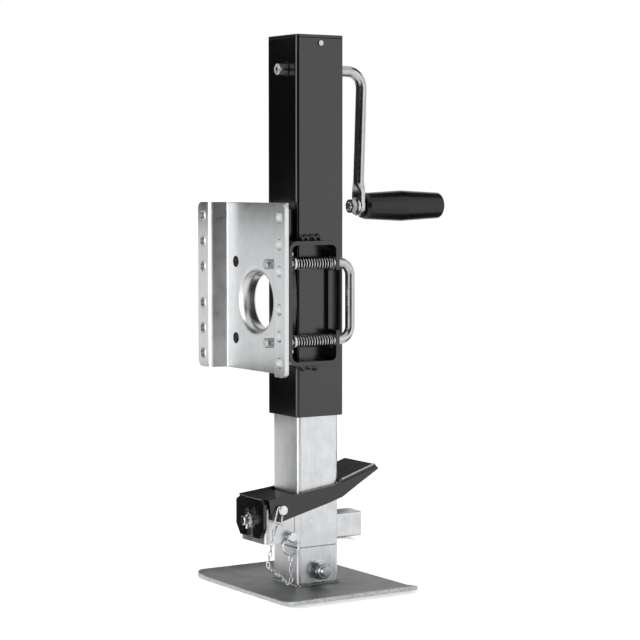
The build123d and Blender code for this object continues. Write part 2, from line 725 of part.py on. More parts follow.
# Hand grip turning on its bolt
grip_left_x = flat_x + grip_gap
grip_right_x = grip_left_x + grip_length
with BuildPart() as hand_grip:
    with BuildSketch(Plane(origin=(0, shaft_y, grip_axis_z), x_dir=(1, 0, 0), z_dir=(0, -1, 0))):
        with BuildLine():
            middle_x = (grip_left_x + grip_right_x) / 2
            bore = grip_bolt_radius + 0.1
            recess_x = grip_right_x - grip_bolt_head - grip_bolt_sink
            Polyline(
                (grip_right_x, grip_end_radius - grip_end_round),
                (grip_right_x, grip_bolt_head_radius + 1),
                (recess_x, grip_bolt_head_radius + 1),
                (recess_x, bore),
                (grip_left_x, bore),
                (grip_left_x, grip_end_radius - 1.5),
                (grip_left_x + 1.5, grip_end_radius),
                (middle_x, grip_middle_radius),
                (grip_right_x - grip_end_round, grip_end_radius),
            )
            round_start = (grip_right_x - grip_end_round, grip_end_radius)
            round_end = (grip_right_x, grip_end_radius - grip_end_round)
            RadiusArc(round_start, round_end, grip_end_round)
        make_face()
    revolve(axis=Axis((0, shaft_y, grip_axis_z), (1, 0, 0)))
keep(hand_grip, "hand_grip")

nut_right_x = arm_x - paddle_thick / 2 - grip_washer_thick
nut_left_x = nut_right_x - grip_nut_length - grip_nut_flange
with BuildPart() as grip_bolt:
    head_x = grip_right_x - grip_bolt_head - grip_bolt_sink + 0.5
    round_bar(nut_left_x - 2, head_x, shaft_y, grip_axis_z, grip_bolt_radius)
    with BuildSketch(Plane(origin=(head_x, shaft_y, grip_axis_z), z_dir=(1, 0, 0))):
        RegularPolygon(grip_bolt_head_radius, 6)
    extrude(amount=grip_bolt_head)
keep(grip_bolt, "grip_bolt")

with BuildPart() as grip_nut:
    with BuildSketch(Plane(origin=(nut_left_x, shaft_y, grip_axis_z), z_dir=(1, 0, 0))):
        RegularPolygon(grip_nut_corner, 6)
        Circle(grip_bolt_radius + pin_fit, mode=Mode.SUBTRACT)
    extrude(amount=grip_nut_length)
    with BuildSketch(Plane(origin=(nut_right_x, shaft_y, grip_axis_z), z_dir=(-1, 0, 0))):
        Circle(grip_nut_corner + 0.4)
        Circle(grip_bolt_radius + pin_fit, mode=Mode.SUBTRACT)
    extrude(amount=grip_nut_flange)
keep(grip_nut, "grip_nut")

with BuildPart() as grip_washer:
    washer_bore = grip_bolt_radius + 4 * pin_fit
    round_bar(nut_right_x, nut_right_x + grip_washer_thick, shaft_y, grip_axis_z, grip_nut_corner + 0.8)
    round_bar(nut_right_x - 1, arm_x, shaft_y, grip_axis_z, washer_bore, mode=Mode.SUBTRACT)
keep(grip_washer, "grip_washer")

# Telescoping leg with the nut welded into its top
with BuildPart() as leg_tube:
    square_tube(leg_low, leg_high, leg_side, leg_wall, leg_corner)
    nose_bore = plunger_nose_radius + plunger_clearance
    round_bar(-leg_half - 1, 0, 0, plunger_z, nose_bore, mode=Mode.SUBTRACT)
keep(leg_tube, "leg_tube")

with BuildPart() as leg_nut:
    leg_inner = leg_side - 2 * leg_wall - 0.2
    with BuildSketch(Plane.XY.offset(leg_high - 10)):
        RectangleRounded(leg_inner, leg_inner, 1)
    extrude(amount=10)
    round_bar(leg_high - nut_height, leg_high - 10, 0, shaft_y, nut_hub_radius, Axis.Z)
    through = (leg_high - nut_height - 1, leg_high + 1)
    round_bar(*through, 0, shaft_y, screw_radius + running_clearance, Axis.Z, Mode.SUBTRACT)
keep(leg_nut, "leg_nut")

with BuildPart() as drop_leg:
    square_tube(drop_low, drop_low + drop_rise, drop_side, drop_wall, fold_radius)
    round_bar(-leg_half - 1, 0, 0, plunger_z, nose_bore, mode=Mode.SUBTRACT)
    round_bar(-leg_half, leg_half, 0, foot_bolt_height, foot_bolt_radius + 0.2, Axis.Y, Mode.SUBTRACT)
keep(drop_leg, "drop_leg")

with BuildPart() as foot_socket:
    square_tube(foot_thick, foot_thick + socket_height, leg_side, socket_wall, leg_corner)
    round_bar(-leg_half - 1, leg_half + 1, 0, foot_bolt_height, foot_bolt_radius + 0.2, Axis.Y, Mode.SUBTRACT)
keep(foot_socket, "foot_socket")

# Foot plate: pressed sheet whose two ends curl up
with BuildPart() as foot_plate:
    flat_half = foot_size_y / 2 - foot_curl_width
    curl_radius = (foot_curl_width**2 + foot_curl_rise**2) / (2 * foot_curl_rise)
    curl_turn = degrees(asin(foot_curl_width / curl_radius))
    with BuildSketch(Plane(origin=(-foot_size_x / 2, 0, 0), x_dir=(0, 1, 0), z_dir=(1, 0, 0))):
        with BuildLine():
            low_left = (-foot_size_y / 2, foot_curl_rise)
            low_right = (foot_size_y / 2, foot_curl_rise)
            inner = curl_radius - foot_thick
            end_y = flat_half + inner * sin(radians(curl_turn))
            end_z = foot_thick + inner * (1 - cos(radians(curl_turn)))
            Line((-flat_half, 0), (flat_half, 0))
            RadiusArc((flat_half, 0), low_right, -curl_radius)
            Line(low_right, (end_y, end_z))
            RadiusArc((end_y, end_z), (flat_half, foot_thick), inner)
            Line((flat_half, foot_thick), (-flat_half, foot_thick))
            RadiusArc((-flat_half, foot_thick), (-end_y, end_z), inner)
            Line((-end_y, end_z), low_left)
            RadiusArc(low_left, (-flat_half, 0), -curl_radius)
        make_face()
    extrude(amount=foot_size_x)
    with BuildSketch(Plane.XY):
        RectangleRounded(foot_size_x, foot_size_y, foot_corner)
    extrude(amount=foot_thick + foot_curl_rise + 2, mode=Mode.INTERSECT)
keep(foot_plate, "foot_plate")

with BuildPart() as socket_weld:
    with BuildSketch(Plane.XY.offset(foot_thick)):
        weld_side = leg_side + 2 * socket_weld_size
        RectangleRounded(weld_side, weld_side, leg_corner + socket_weld_size)
        RectangleRounded(leg_side, leg_side, leg_corner, mode=Mode.SUBTRACT)
    extrude(amount=socket_weld_size)
    weld_top = socket_weld.faces().sort_by(Axis.Z)[-1]
    chamfer(weld_top.outer_wire().edges(), 0.8 * socket_weld_size)
keep(socket_weld, "socket_weld")

nut_face_y = -leg_half - 2
with BuildPart() as foot_bolt:
    round_bar(-leg_half - foot_bolt_over, leg_half + 2, 0, foot_bolt_height, foot_bolt_radius, Axis.Y)
    with BuildSketch(Plane(origin=(0, leg_half + 2, foot_bolt_height), z_dir=(0, 1, 0))):
        RegularPolygon(10.9, 6)
    extrude(amount=7.5)
    chamfer(foot_bolt.faces().sort_by(Axis.Y)[0].edges(), 1.2)
keep(foot_bolt, "foot_bolt")

with BuildPart() as foot_nut:
    with BuildSketch(Plane(origin=(0, nut_face_y, foot_bolt_height), z_dir=(0, -1, 0))):
        RegularPolygon(10.9, 6)
        Circle(foot_bolt_radius + 0.05, mode=Mode.SUBTRACT)
    extrude(amount=9)
    with BuildSketch(Plane(origin=(0, nut_face_y - 9, foot_bolt_height), z_dir=(0, -1, 0))):
        Circle(8.6)
        Circle(foot_bolt_radius + 0.05, mode=Mode.SUBTRACT)
    extrude(amount=3)
keep(foot_nut, "foot_nut")

with BuildPart() as foot_washers:
    for y in (-leg_half - 2, leg_half):
        with BuildSketch(Plane(origin=(0, y, foot_bolt_height), z_dir=(0, 1, 0))):
            Circle(12)
            Circle(foot_bolt_radius + 0.2, mode=Mode.SUBTRACT)
        extrude(amount=2)
keep(foot_washers, "foot_washers")

# Housing channel on the leg: a folded U that guides the plunger and carries both cross pins
with BuildPart() as plunger_housing:
    with BuildSketch(Plane(origin=(0, leg_half, 0), x_dir=(1, 0, 0), z_dir=(0, -1, 0))):
        with BuildLine():
            Polyline(
                (housing_front_x, housing_low),
                (housing_front_x, housing_web_high),
                (housing_front_x + 6, housing_ear_high),
                (pivot_x + 5, housing_ear_high),
                (seam_x, seam_high),
                (seam_x, housing_low),
                close=True,
            )
        make_face()
    extrude(amount=leg_side)
    upright = plunger_housing.edges().filter_by(Axis.Z)
    front_edges = [e for e in upright if abs(e.center().X - housing_front_x) < 0.1]
    seam_edges = [e for e in upright if abs(e.center().X - seam_x) < 0.1]
    fillet(front_edges, leg_corner)
    chamfer(seam_edges, seam_groove)
    hollow_y = leg_half - housing_wall
    with BuildSketch(Plane(origin=(0, hollow_y, 0), x_dir=(1, 0, 0), z_dir=(0, -1, 0))):
        with BuildLine():
            Polyline(
                (housing_front_x + housing_wall, housing_low - 1),
                (housing_front_x + housing_wall, housing_web_high),
                (housing_front_x - 1, housing_web_high),
                (housing_front_x - 1, housing_ear_high + 1),
                (-leg_half + 1, housing_ear_high + 1),
                (-leg_half + 1, housing_low - 1),
                close=True,
            )
        make_face()
    extrude(amount=2 * hollow_y, mode=Mode.SUBTRACT)
    rod_bore = plunger_radius + plunger_clearance
    round_bar(housing_front_x - 2, housing_front_x + 6, 0, plunger_z, rod_bore, mode=Mode.SUBTRACT)
    through = (-leg_half - 1, leg_half + 1)
    round_bar(*through, pivot_x, pivot_z, pivot_radius + pin_fit, Axis.Y, Mode.SUBTRACT)
    round_bar(*through, lock_pin_x, lock_pin_z, lock_pin_radius + pin_fit, Axis.Y, Mode.SUBTRACT)
keep(plunger_housing, "plunger_housing")

with BuildPart() as housing_welds:
    # flush filler between the channel's edges and the rounded corners of the leg
    with BuildSketch(Plane.XY.offset(housing_low)):
        filler_end_x = -leg_half + leg_corner * 0.6
        with Locations(((seam_x + filler_end_x) / 2, 0)):
            Rectangle(filler_end_x - seam_x, leg_side)
            Rectangle(filler_end_x - seam_x, leg_side - 2 * housing_wall, mode=Mode.SUBTRACT)
        RectangleRounded(leg_side + 0.02, leg_side + 0.02, leg_corner, mode=Mode.SUBTRACT)
    extrude(amount=seam_high - housing_low)
keep(housing_welds, "housing_welds")

# Foot pedal: folded sheet with an end plate, a top plate, two side arms and a tread
with BuildPart() as foot_pedal:
    slope = tan(radians(pad_slope))
    pad_end_z = pad_start_z + (pad_end_x - pad_start_x) * slope
    arm_front_x = pedal_front_x + pedal_thick + arm_front_gap
    with BuildSketch(Plane(origin=(0, pedal_half_y, 0), x_dir=(1, 0, 0), z_dir=(0, -1, 0))):
        with BuildLine():
            Polyline(
                (arm_front_x, pedal_top_z + (arm_front_x - pedal_front_x) * pedal_top_slope),
                (pedal_top_end_x, pedal_top_z + pedal_top_rise),
                (pad_start_x - 5, pad_start_z - 4.5),
                (pad_start_x, pad_start_z),
                (pad_end_x, pad_end_z),
                (pad_end_x + 3.5, pad_end_z - 5.5),
                (53.3, 118.9),
                (29.8, 104.9),
                (11.6, 99.5),
                (-38.0, 87.0),
                (pivot_x - 1.5, 82.5),
                (-66.0, 86.0),
                close=True,
            )
        make_face()
    extrude(amount=2 * pedal_half_y)
    with BuildSketch(Plane(origin=(0, pedal_inner_y, 0), x_dir=(1, 0, 0), z_dir=(0, -1, 0))):
        with BuildLine():
            under_z = pedal_top_z - pedal_thick
            window_x = pedal_top_end_x - 0.5
            window_high = pad_end_z + 10
            beyond_x = pad_end_x + 10
            Polyline(
                (pedal_front_x, pedal_low_z - 5),
                (pedal_front_x, under_z),
                (window_x, under_z + (window_x - pedal_front_x) * pedal_top_slope),
                (window_x, window_high),
                (pad_start_x, window_high),
                (pad_start_x, pad_start_z - pedal_thick),
                (beyond_x, pad_start_z - pedal_thick + (beyond_x - pad_start_x) * slope),
                (beyond_x, pedal_low_z - 5),
                close=True,
            )
        make_face()
    extrude(amount=2 * pedal_inner_y, mode=Mode.SUBTRACT)
    # the tread's sheet stands a little proud of the arms, with a step along each side
    with BuildSketch(Plane(origin=(0, pedal_half_y + 1, 0), x_dir=(1, 0, 0), z_dir=(0, -1, 0))):
        with BuildLine():
            Polyline(
                (pad_start_x, pad_start_z - pad_edge_step),
                (beyond_x, pad_start_z - pad_edge_step + (beyond_x - pad_start_x) * slope),
                (beyond_x, window_high),
                (pad_start_x, window_high),
                close=True,
            )
        make_face()
    step_cut = extrude(amount=1 + pad_edge_inset, mode=Mode.PRIVATE)
    add(step_cut, mode=Mode.SUBTRACT)
    add(mirror(step_cut, about=Plane.XZ), mode=Mode.SUBTRACT)
    # end plate bent down from the top plate, with an open slot for the plunger
    end_half = pedal_end_half_y
    with BuildSketch(Plane(origin=(pedal_front_x, 0, 0), x_dir=(0, 1, 0), z_dir=(1, 0, 0))):
        with BuildLine():
            Polyline(
                (-end_half + pedal_chamfer_low, pedal_low_z),
                (-end_half, pedal_low_z + pedal_chamfer_low + 3),
                (-end_half, pedal_top_z - pedal_chamfer_top * 0.6),
                (-end_half + pedal_chamfer_top, pedal_top_z),
                (end_half - pedal_chamfer_top, pedal_top_z),
                (end_half, pedal_top_z - pedal_chamfer_top * 0.6),
                (end_half, pedal_low_z + pedal_chamfer_low + 3),
                (end_half - pedal_chamfer_low, pedal_low_z),
                close=True,
            )
        make_face()
        slot = plunger_radius + 1
        with Locations((0, (pedal_low_z + plunger_z) / 2 - 1)):
            Rectangle(2 * slot, plunger_z - pedal_low_z + 2, mode=Mode.SUBTRACT)
        with Locations((0, plunger_z)):
            Circle(slot, mode=Mode.SUBTRACT)
    extrude(amount=pedal_thick)
    with BuildSketch(Plane(origin=(0, end_half - pedal_chamfer_top, 0), x_dir=(1, 0, 0), z_dir=(0, -1, 0))):
        with BuildLine():
            bridge_x = arm_front_x + 3
            bridge_z = pedal_top_z + (bridge_x - pedal_front_x) * pedal_top_slope
            Polyline(
                (pedal_front_x, pedal_top_z - pedal_thick),
                (pedal_front_x, pedal_top_z),
                (bridge_x, bridge_z),
                (bridge_x, bridge_z - pedal_thick),
                close=True,
            )
        make_face()
    extrude(amount=2 * (end_half - pedal_chamfer_top))
    fold = [
        e
        for e in foot_pedal.edges().filter_by(Axis.Y)
        if abs(e.center().X - pedal_front_x) < 0.1 and abs(e.center().Z - pedal_top_z) < 0.1
    ]
    fillet(fold, pedal_fold)
    through = (-pedal_half_y - 1, pedal_half_y + 1)
    round_bar(*through, pivot_x, pivot_z, pivot_radius + 2 * pin_fit, Axis.Y, Mode.SUBTRACT)
keep(foot_pedal, "foot_pedal")

with BuildPart() as pedal_tread:
    with BuildSketch(Plane(origin=(0, pedal_half_y - 3, 0), x_dir=(1, 0, 0), z_dir=(0, -1, 0))):
        with BuildLine():
            rise = pad_grit_thick
            Polyline(
                (pad_start_x + 1, pad_start_z + slope),
                (pad_end_x - 1, pad_end_z - slope),
                (pad_end_x - 1, pad_end_z - slope + rise),
                (pad_start_x + 1, pad_start_z + slope + rise),
                close=True,
            )
        make_face()
    extrude(amount=2 * (pedal_half_y - 3))
keep(pedal_tread, "pedal_tread")


def cross_pin(x, z, radius, reach, head_y):
    """A headed cross pin along Y, its far end drilled for a split ring."""
    round_bar(head_y, reach, x, z, radius, Axis.Y)
    round_bar(head_y - pin_head, head_y, x, z, pin_head_radius, Axis.Y)


with BuildPart() as pedal_pin:
    cross_pin(pivot_x, pivot_z, pivot_radius, pedal_half_y + pin_end_reach, -pedal_half_y - 0.4)
    chamfer(pedal_pin.faces().sort_by(Axis.Y)[0].edges(), 0.8)
keep(pedal_pin, "pedal_pin")

with BuildPart() as lock_pin:
    cross_pin(lock_pin_x, lock_pin_z, lock_pin_radius, leg_half + pin_end_reach, -leg_half - 4.5)
    chamfer(lock_pin.faces().sort_by(Axis.Y)[0].edges(), 0.8)
keep(lock_pin, "lock_pin")

# Plunger with its nose in the drop leg, pulled by the pedal's end plate
with BuildPart() as plunger:
    round_bar(plunger_end_x, plunger_shoulder_x, 0, plunger_z, plunger_radius)
    round_bar(plunger_shoulder_x, plunger_tip_x, 0, plunger_z, plunger_nose_radius)
    chamfer(plunger.faces().sort_by(Axis.X)[-1].edges(), 1.5)
    chamfer(plunger.faces().sort_by(Axis.X)[0].edges(), 0.8)
    cotter_x = pedal_front_x - 0.3 - plunger_washer_thick - 1.7
    round_bar(plunger_z - 9, plunger_z + 9, cotter_x, 0, 1.5, Axis.Z, Mode.SUBTRACT)
keep(plunger, "plunger")

with BuildPart() as plunger_washer:
    washer_x = pedal_front_x - 0.3 - plunger_washer_thick
    round_bar(washer_x, washer_x + plunger_washer_thick, 0, plunger_z, plunger_washer_radius)
    round_bar(washer_x - 1, washer_x + 5, 0, plunger_z, plunger_radius + 0.2, mode=Mode.SUBTRACT)
keep(plunger_washer, "plunger_washer")

with BuildPart() as plunger_cotter:
    round_bar(plunger_z - 9.5, plunger_z + 7, cotter_x, 0, 1.4, Axis.Z)
    with BuildSketch(Plane(origin=(cotter_x, 0, plunger_z + 10), x_dir=(0, 1, 0), z_dir=(1, 0, 0))):
        with Locations((0, 0)):
            Circle(4)
            Circle(2, mode=Mode.SUBTRACT)
    extrude(amount=1.2, both=True)
keep(plunger_cotter, "plunger_cotter")

with BuildPart() as plunger_spring:
    coil_spring(
        housing_front_x + housing_wall + 0.1,
        plunger_shoulder_x - 0.1,
        0,
        plunger_z,
        plunger_nose_radius + 1.6,
        plunger_spring_wire,
        plunger_spring_coils,
    )
keep(plunger_spring, "plunger_spring")

# Square stop tube on the far side of the leg, under the tread
with BuildPart() as stop_tube:
    with BuildSketch(Plane(origin=(leg_half, 0, stop_tube_z), x_dir=(0, 1, 0), z_dir=(1, 0, 0))):
        RectangleRounded(stop_tube_side, stop_tube_side, 3)
        inner = stop_tube_side - 2 * stop_tube_wall
        RectangleRounded(inner, inner, 1, mode=Mode.SUBTRACT)
    extrude(amount=stop_tube_end_x - leg_half)
keep(stop_tube, "stop_tube")

# Bent strip clip under the stop tube
with BuildPart() as stop_clip:
    with BuildSketch(Plane(origin=(0, clip_y, 0), x_dir=(1, 0, 0), z_dir=(0, -1, 0))):
        with BuildLine():
            clip_x = leg_half + 1.5
            clip_end_x = clip_x + clip_length
            clip_high = stop_tube_z - stop_tube_side / 2
            Polyline(
                (clip_x, clip_high),
                (clip_x + clip_seat, clip_high),
                (clip_end_x, clip_high - clip_drop),
                (clip_end_x, clip_high - clip_drop - clip_strip),
                (clip_x + clip_seat, clip_high - clip_strip),
                (clip_x, clip_high - clip_strip),
                close=True,
            )
        make_face()
    extrude(amount=clip_width)
    hole_x = clip_end_x - clip_width / 2
    hole_y = clip_y - clip_width / 2
    round_bar(clip_high - clip_width, clip_high, hole_x, hole_y, clip_hole, Axis.Z, Mode.SUBTRACT)
keep(stop_clip, "stop_clip")

print(f"{len(kept)} sub-parts written")
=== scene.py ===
import math

import bmesh
import bpy
import numpy as np
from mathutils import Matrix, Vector


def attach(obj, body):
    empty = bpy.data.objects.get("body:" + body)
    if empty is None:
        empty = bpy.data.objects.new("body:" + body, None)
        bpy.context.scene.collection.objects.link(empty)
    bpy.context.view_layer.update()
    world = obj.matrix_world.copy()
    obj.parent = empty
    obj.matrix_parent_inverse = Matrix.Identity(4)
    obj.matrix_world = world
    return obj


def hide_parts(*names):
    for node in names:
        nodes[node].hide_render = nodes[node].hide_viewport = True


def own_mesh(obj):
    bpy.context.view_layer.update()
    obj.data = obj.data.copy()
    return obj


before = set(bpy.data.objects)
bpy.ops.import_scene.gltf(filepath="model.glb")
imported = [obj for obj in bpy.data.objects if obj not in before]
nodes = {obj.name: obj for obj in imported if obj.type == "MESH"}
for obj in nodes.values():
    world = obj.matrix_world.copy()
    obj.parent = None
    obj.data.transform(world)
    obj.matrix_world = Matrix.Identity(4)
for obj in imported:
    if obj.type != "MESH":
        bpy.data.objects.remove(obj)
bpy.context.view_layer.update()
mm = 0.001
print("frame loaded:", len(nodes), "nodes")


# lengths and places are in millimetres, and only the studio's floor, panels and cloths are in metres

def turnOut(piece):
    # signed volume = sum of a . (b x c) / 6 over fans; negative means the skin faces inwards
    mesh = piece.data
    mesh.calc_loop_triangles()
    count = len(mesh.loop_triangles)
    corners = np.empty(count * 3, np.int32)
    mesh.loop_triangles.foreach_get("vertices", corners)
    places = np.empty(len(mesh.vertices) * 3, np.float32)
    mesh.vertices.foreach_get("co", places)
    a, b, c = places.reshape(-1, 3)[corners.reshape(-1, 3)].transpose(1, 0, 2).astype(float)
    if np.einsum("ij,ij->i", a, np.cross(b, c)).sum() < 0:
        mesh.flip_normals()


def newObject(name, data):
    # every object joins the scene's own collection
    made = bpy.data.objects.new(name, data)
    bpy.context.scene.collection.objects.link(made)
    return made


def keepFlats(piece):
    # flat faces stay flat beside rounded edges
    weighted = piece.modifiers.new("flatFaces", "WEIGHTED_NORMAL")
    weighted.keep_sharp = True


def buildMesh(name, points, faces, sharpAngle=38):
    # points in mm -> a mesh object in metres with its place in its vertices, facing outwards
    mesh = bpy.data.meshes.new(name)
    mesh.from_pydata((np.asarray(points, float).reshape(-1, 3) * mm).tolist(), [], faces)
    mesh.shade_smooth()
    mesh.set_sharp_from_angle(angle=math.radians(sharpAngle))
    piece = newObject(name, mesh)
    keepFlats(piece)
    turnOut(piece)
    return piece


def gridFaces(rows, columns, closeRows=False, closeColumns=False):
    # quads between neighbours of a rows x columns grid, wrapped where a direction closes
    r = np.arange(rows if closeRows else rows - 1)
    c = np.arange(columns if closeColumns else columns - 1)
    r, c = np.meshgrid(r, c, indexing="ij")
    r2, c2 = (r + 1) % rows, (c + 1) % columns
    quads = np.stack([r * columns + c, r * columns + c2, r2 * columns + c2, r2 * columns + c], -1)
    return quads.reshape(-1, 4).tolist()


def surface(name, grid, closeRows=False, caps=False, sharpAngle=38):
    # grid[row, column] = point; columns run round a closed section, rows run along the piece
    rows, columns = grid.shape[:2]
    faces = gridFaces(rows, columns, closeRows, True)
    if caps:
        faces.append(list(range(columns))[::-1])
        faces.append([(rows - 1) * columns + c for c in range(columns)])
    return buildMesh(name, grid, faces, sharpAngle)


def fullTurn(count):
    # equal angles round a circle, the last one a step short of the first
    return np.linspace(0, 2 * math.pi, count, endpoint=False)


def ringAbout(axis, t):
    # unit circle square to the axis: cos t * side + sin t * (axis x side)
    side = np.array([0, 0, 1.0]) if abs(axis[2]) < 0.5 else np.array([1.0, 0, 0])
    return np.cos(t)[:, None] * side + np.sin(t)[:, None] * np.cross(axis, side)


def unit(vectors):
    # each row divided by its own length
    return vectors / np.linalg.norm(vectors, axis=-1, keepdims=True)


def tubeGrid(centre, radius, side, up, turns):
    # section circles along a line of centres: centre + radius * (cos t * side + sin t * up)
    t = fullTurn(turns)[:, None]
    side, up = (np.broadcast_to(v, centre.shape)[:, None] for v in (side, up))
    radius = np.broadcast_to(radius, len(centre))[:, None, None]
    return centre[:, None] + radius * (np.cos(t) * side + np.sin(t) * up)


def squareLoop(width, height, radius, perCorner=7):
    # rounded rectangle: corner centre + radius * (cos a, sin a), a over a quarter turn in each corner
    a = np.linspace(0, math.pi / 2, perCorner)
    turns = np.concatenate([a, a + math.pi / 2, a + math.pi, a + 1.5 * math.pi])
    sx = np.repeat([1, -1, -1, 1], perCorner)
    sy = np.repeat([1, 1, -1, -1], perCorner)
    x = sx * (width / 2 - radius) + radius * np.cos(turns)
    y = sy * (height / 2 - radius) + radius * np.sin(turns)
    return np.stack([x, y], -1)


def lathe(name, profile, origin, axis, turns=48):
    # profile rows (along, radius): point = origin + axis * along + radius * ring(t)
    profile = np.asarray(profile, float)
    axis = np.asarray(axis, float)
    ring = ringAbout(axis, fullTurn(turns))
    grid = np.asarray(origin, float) + profile[:, 0, None, None] * axis + profile[:, 1, None, None] * ring
    if np.allclose(profile[0], profile[-1]):
        return surface(name, grid[:-1], closeRows=True)
    return surface(name, grid, caps=True)


def boredRing(name, steps, bore, origin, axis):
    # a lathed ring: its outer steps (along, radius), closed by a straight bore from the last to the first
    profile = [(steps[0][0], bore)] + list(steps) + [(steps[-1][0], bore), (steps[0][0], bore)]
    return lathe(name, profile, origin, axis, 40)


def bentPath(corners, bend, perBend=10):
    # straight runs whose corners are arcs: start + bend * (sin a * into + (1 - cos a) * side)
    corners = np.asarray(corners, float)
    runs = unit(np.diff(corners, axis=0))
    places = [corners[:1]]
    for k in range(1, len(corners) - 1):
        into, out = runs[k - 1], runs[k]
        angle = math.acos(np.clip(into @ out, -1, 1))
        setback = bend * math.tan(angle / 2)
        side = unit(out - into * (into @ out))
        centre = corners[k] - into * setback + side * bend
        a = np.linspace(0, angle, perBend)[:, None]
        places.append(centre + bend * (np.sin(a) * into - np.cos(a) * side))
    places.append(corners[-1:])
    return np.concatenate(places)


def rod(name, path, radius, normal, turns=20, closed=False, chamfer=0.0):
    # section circle carried along a flat path, between normal x tangent and the path's normal, with the
    # radius smaller by the chamfer at both ends
    path = np.asarray(path, float)
    normal = np.asarray(normal, float)
    if chamfer:
        first = path[0] + unit(path[1] - path[0]) * chamfer
        last = path[-1] + unit(path[-2] - path[-1]) * chamfer
        path = np.concatenate([path[:1], [first], path[1:-1], [last], path[-1:]])
    along = np.roll(path, -1, 0) - np.roll(path, 1, 0) if closed else np.gradient(path, axis=0)
    side = unit(np.cross(normal, unit(along)))
    r = np.full(len(path), float(radius))
    if chamfer:
        r[0] = r[-1] = radius - chamfer
    return surface(name, tubeGrid(path, r, side, normal, turns), closeRows=closed, caps=not closed)


def hexPiece(name, origin, axis, corner, length, bore=0.0, chamfer=1.2, endShare=0.97, turns=72):
    # radius(t, h) = min(flat distance / cos(t folded into 60 degrees), cone from the chamfer)
    flat = corner * math.cos(math.pi / 6)
    endRadius = endShare * flat
    t = fullTurn(turns)
    hexRadius = flat / np.cos((t + math.pi / 6) % (math.pi / 3) - math.pi / 6)
    h = np.array([0, 0.25, 0.5, 0.75, 1.0]) * chamfer
    steps = np.concatenate([h, length - h[::-1]])
    cone = endRadius + (corner - endRadius) * np.clip(np.minimum(steps, length - steps) / chamfer, 0, 1)
    r = np.minimum(hexRadius[None], cone[:, None])
    origin, axis = np.asarray(origin, float), np.asarray(axis, float)
    ring = ringAbout(axis, t)
    grid = origin + steps[:, None, None] * axis + r[..., None] * ring
    if not bore:
        return surface(name, grid, caps=True, sharpAngle=25)
    inner = origin + np.array([length, 0])[:, None, None] * axis + bore * ring
    return surface(name, np.concatenate([grid, inner]), closeRows=True, sharpAngle=25)


def threadedRod(name, origin, axis, radius, length, thread, turns=36, perPitch=6):
    # radius(t, h) = crest - depth * |2 frac(h / pitch - t / 2 pi) - 1|, tapered over the tip
    h = np.linspace(0, length, int(length / thread["pitch"] * perPitch) + 1)
    t = fullTurn(turns)
    wave = np.abs(2 * ((h[:, None] / thread["pitch"] - t[None] / (2 * math.pi)) % 1) - 1)
    taper = np.clip(length - h, 0, thread["tip"])[:, None]
    r = np.minimum(radius - thread["depth"] * wave, radius - thread["tip"] + taper)
    axis = np.asarray(axis, float)
    grid = np.asarray(origin, float) + h[:, None, None] * axis + r[..., None] * ringAbout(axis, t)
    return surface(name, grid, caps=True, sharpAngle=60)


# a copy of a CAD node: points nearer than doubles in mm become one, faces that turn less than flatAngle in
# degrees become one, and edges sharper than edgeAngle are rounded
copyJoin = {"doubles": 0.002, "flatAngle": 0.4, "edgeAngle": 30}


def roundedCopy(name, node, width):
    # the CAD node's own shape: doubles merged, flat triangles joined, each sharp edge rounded by width
    shape = bmesh.new()
    shape.from_mesh(nodes[node].data)
    shape.transform(nodes[node].matrix_world)
    bmesh.ops.remove_doubles(shape, verts=shape.verts, dist=copyJoin["doubles"] * mm)
    bmesh.ops.dissolve_limit(shape, angle_limit=math.radians(copyJoin["flatAngle"]), verts=shape.verts,
                             edges=shape.edges)
    mesh = bpy.data.meshes.new(name)
    shape.to_mesh(mesh)
    shape.free()
    mesh.shade_smooth()
    piece = newObject(name, mesh)
    edge = piece.modifiers.new("rounding", "BEVEL")
    edge.width, edge.segments = width * mm, 2
    edge.limit_method, edge.angle_limit = "ANGLE", math.radians(copyJoin["edgeAngle"])
    keepFlats(piece)
    return piece


def joined(name, parts):
    # one object from several, so a repeated small piece stays one entry
    first = parts[0]
    with bpy.context.temp_override(active_object=first, selected_editable_objects=parts, object=first,
                                   selected_objects=parts):
        bpy.ops.object.join()
    first.name = name
    return first


def linearColour(hexValue):
    # sRGB hex -> linear: c / 12.92 below 0.04045, else ((c + 0.055) / 1.055) ** 2.4
    c = [int(hexValue[k:k + 2], 16) / 255 for k in (1, 3, 5)]
    return tuple(v / 12.92 if v <= 0.04045 else ((v + 0.055) / 1.055) ** 2.4 for v in c) + (1.0,)


def addNode(tree, kind, settings=None, links=None):
    # a key is an input's name or number, or else a property of the node
    made = tree.nodes.new(kind)
    for key, value in (settings or {}).items():
        if isinstance(key, int) or key in made.inputs:
            made.inputs[key].default_value = value
        else:
            setattr(made, key, value)
    for key, source in (links or {}).items():
        tree.links.new(source, made.inputs[key])
    return made


def newMaterial(name):
    # an empty material, with its tree, its Object coordinates and its output
    material = bpy.data.materials.new(name)
    material.use_nodes = True
    tree = material.node_tree
    tree.nodes.clear()
    coords = addNode(tree, "ShaderNodeTexCoord")
    out = addNode(tree, "ShaderNodeOutputMaterial")
    return material, tree, coords.outputs["Object"], out


def perMetre(size):
    # a noise of scale s has blobs about 1 / s of a metre across: size is in mm
    return 1000.0 / size


# how much of a steel's pattern its rolling lines make, and which part of a noise sets tone and gloss
lineShare = 0.35
tone = {"from": 0.3, "to": 0.68}
gloss = {"from": 0.3, "to": 0.7}


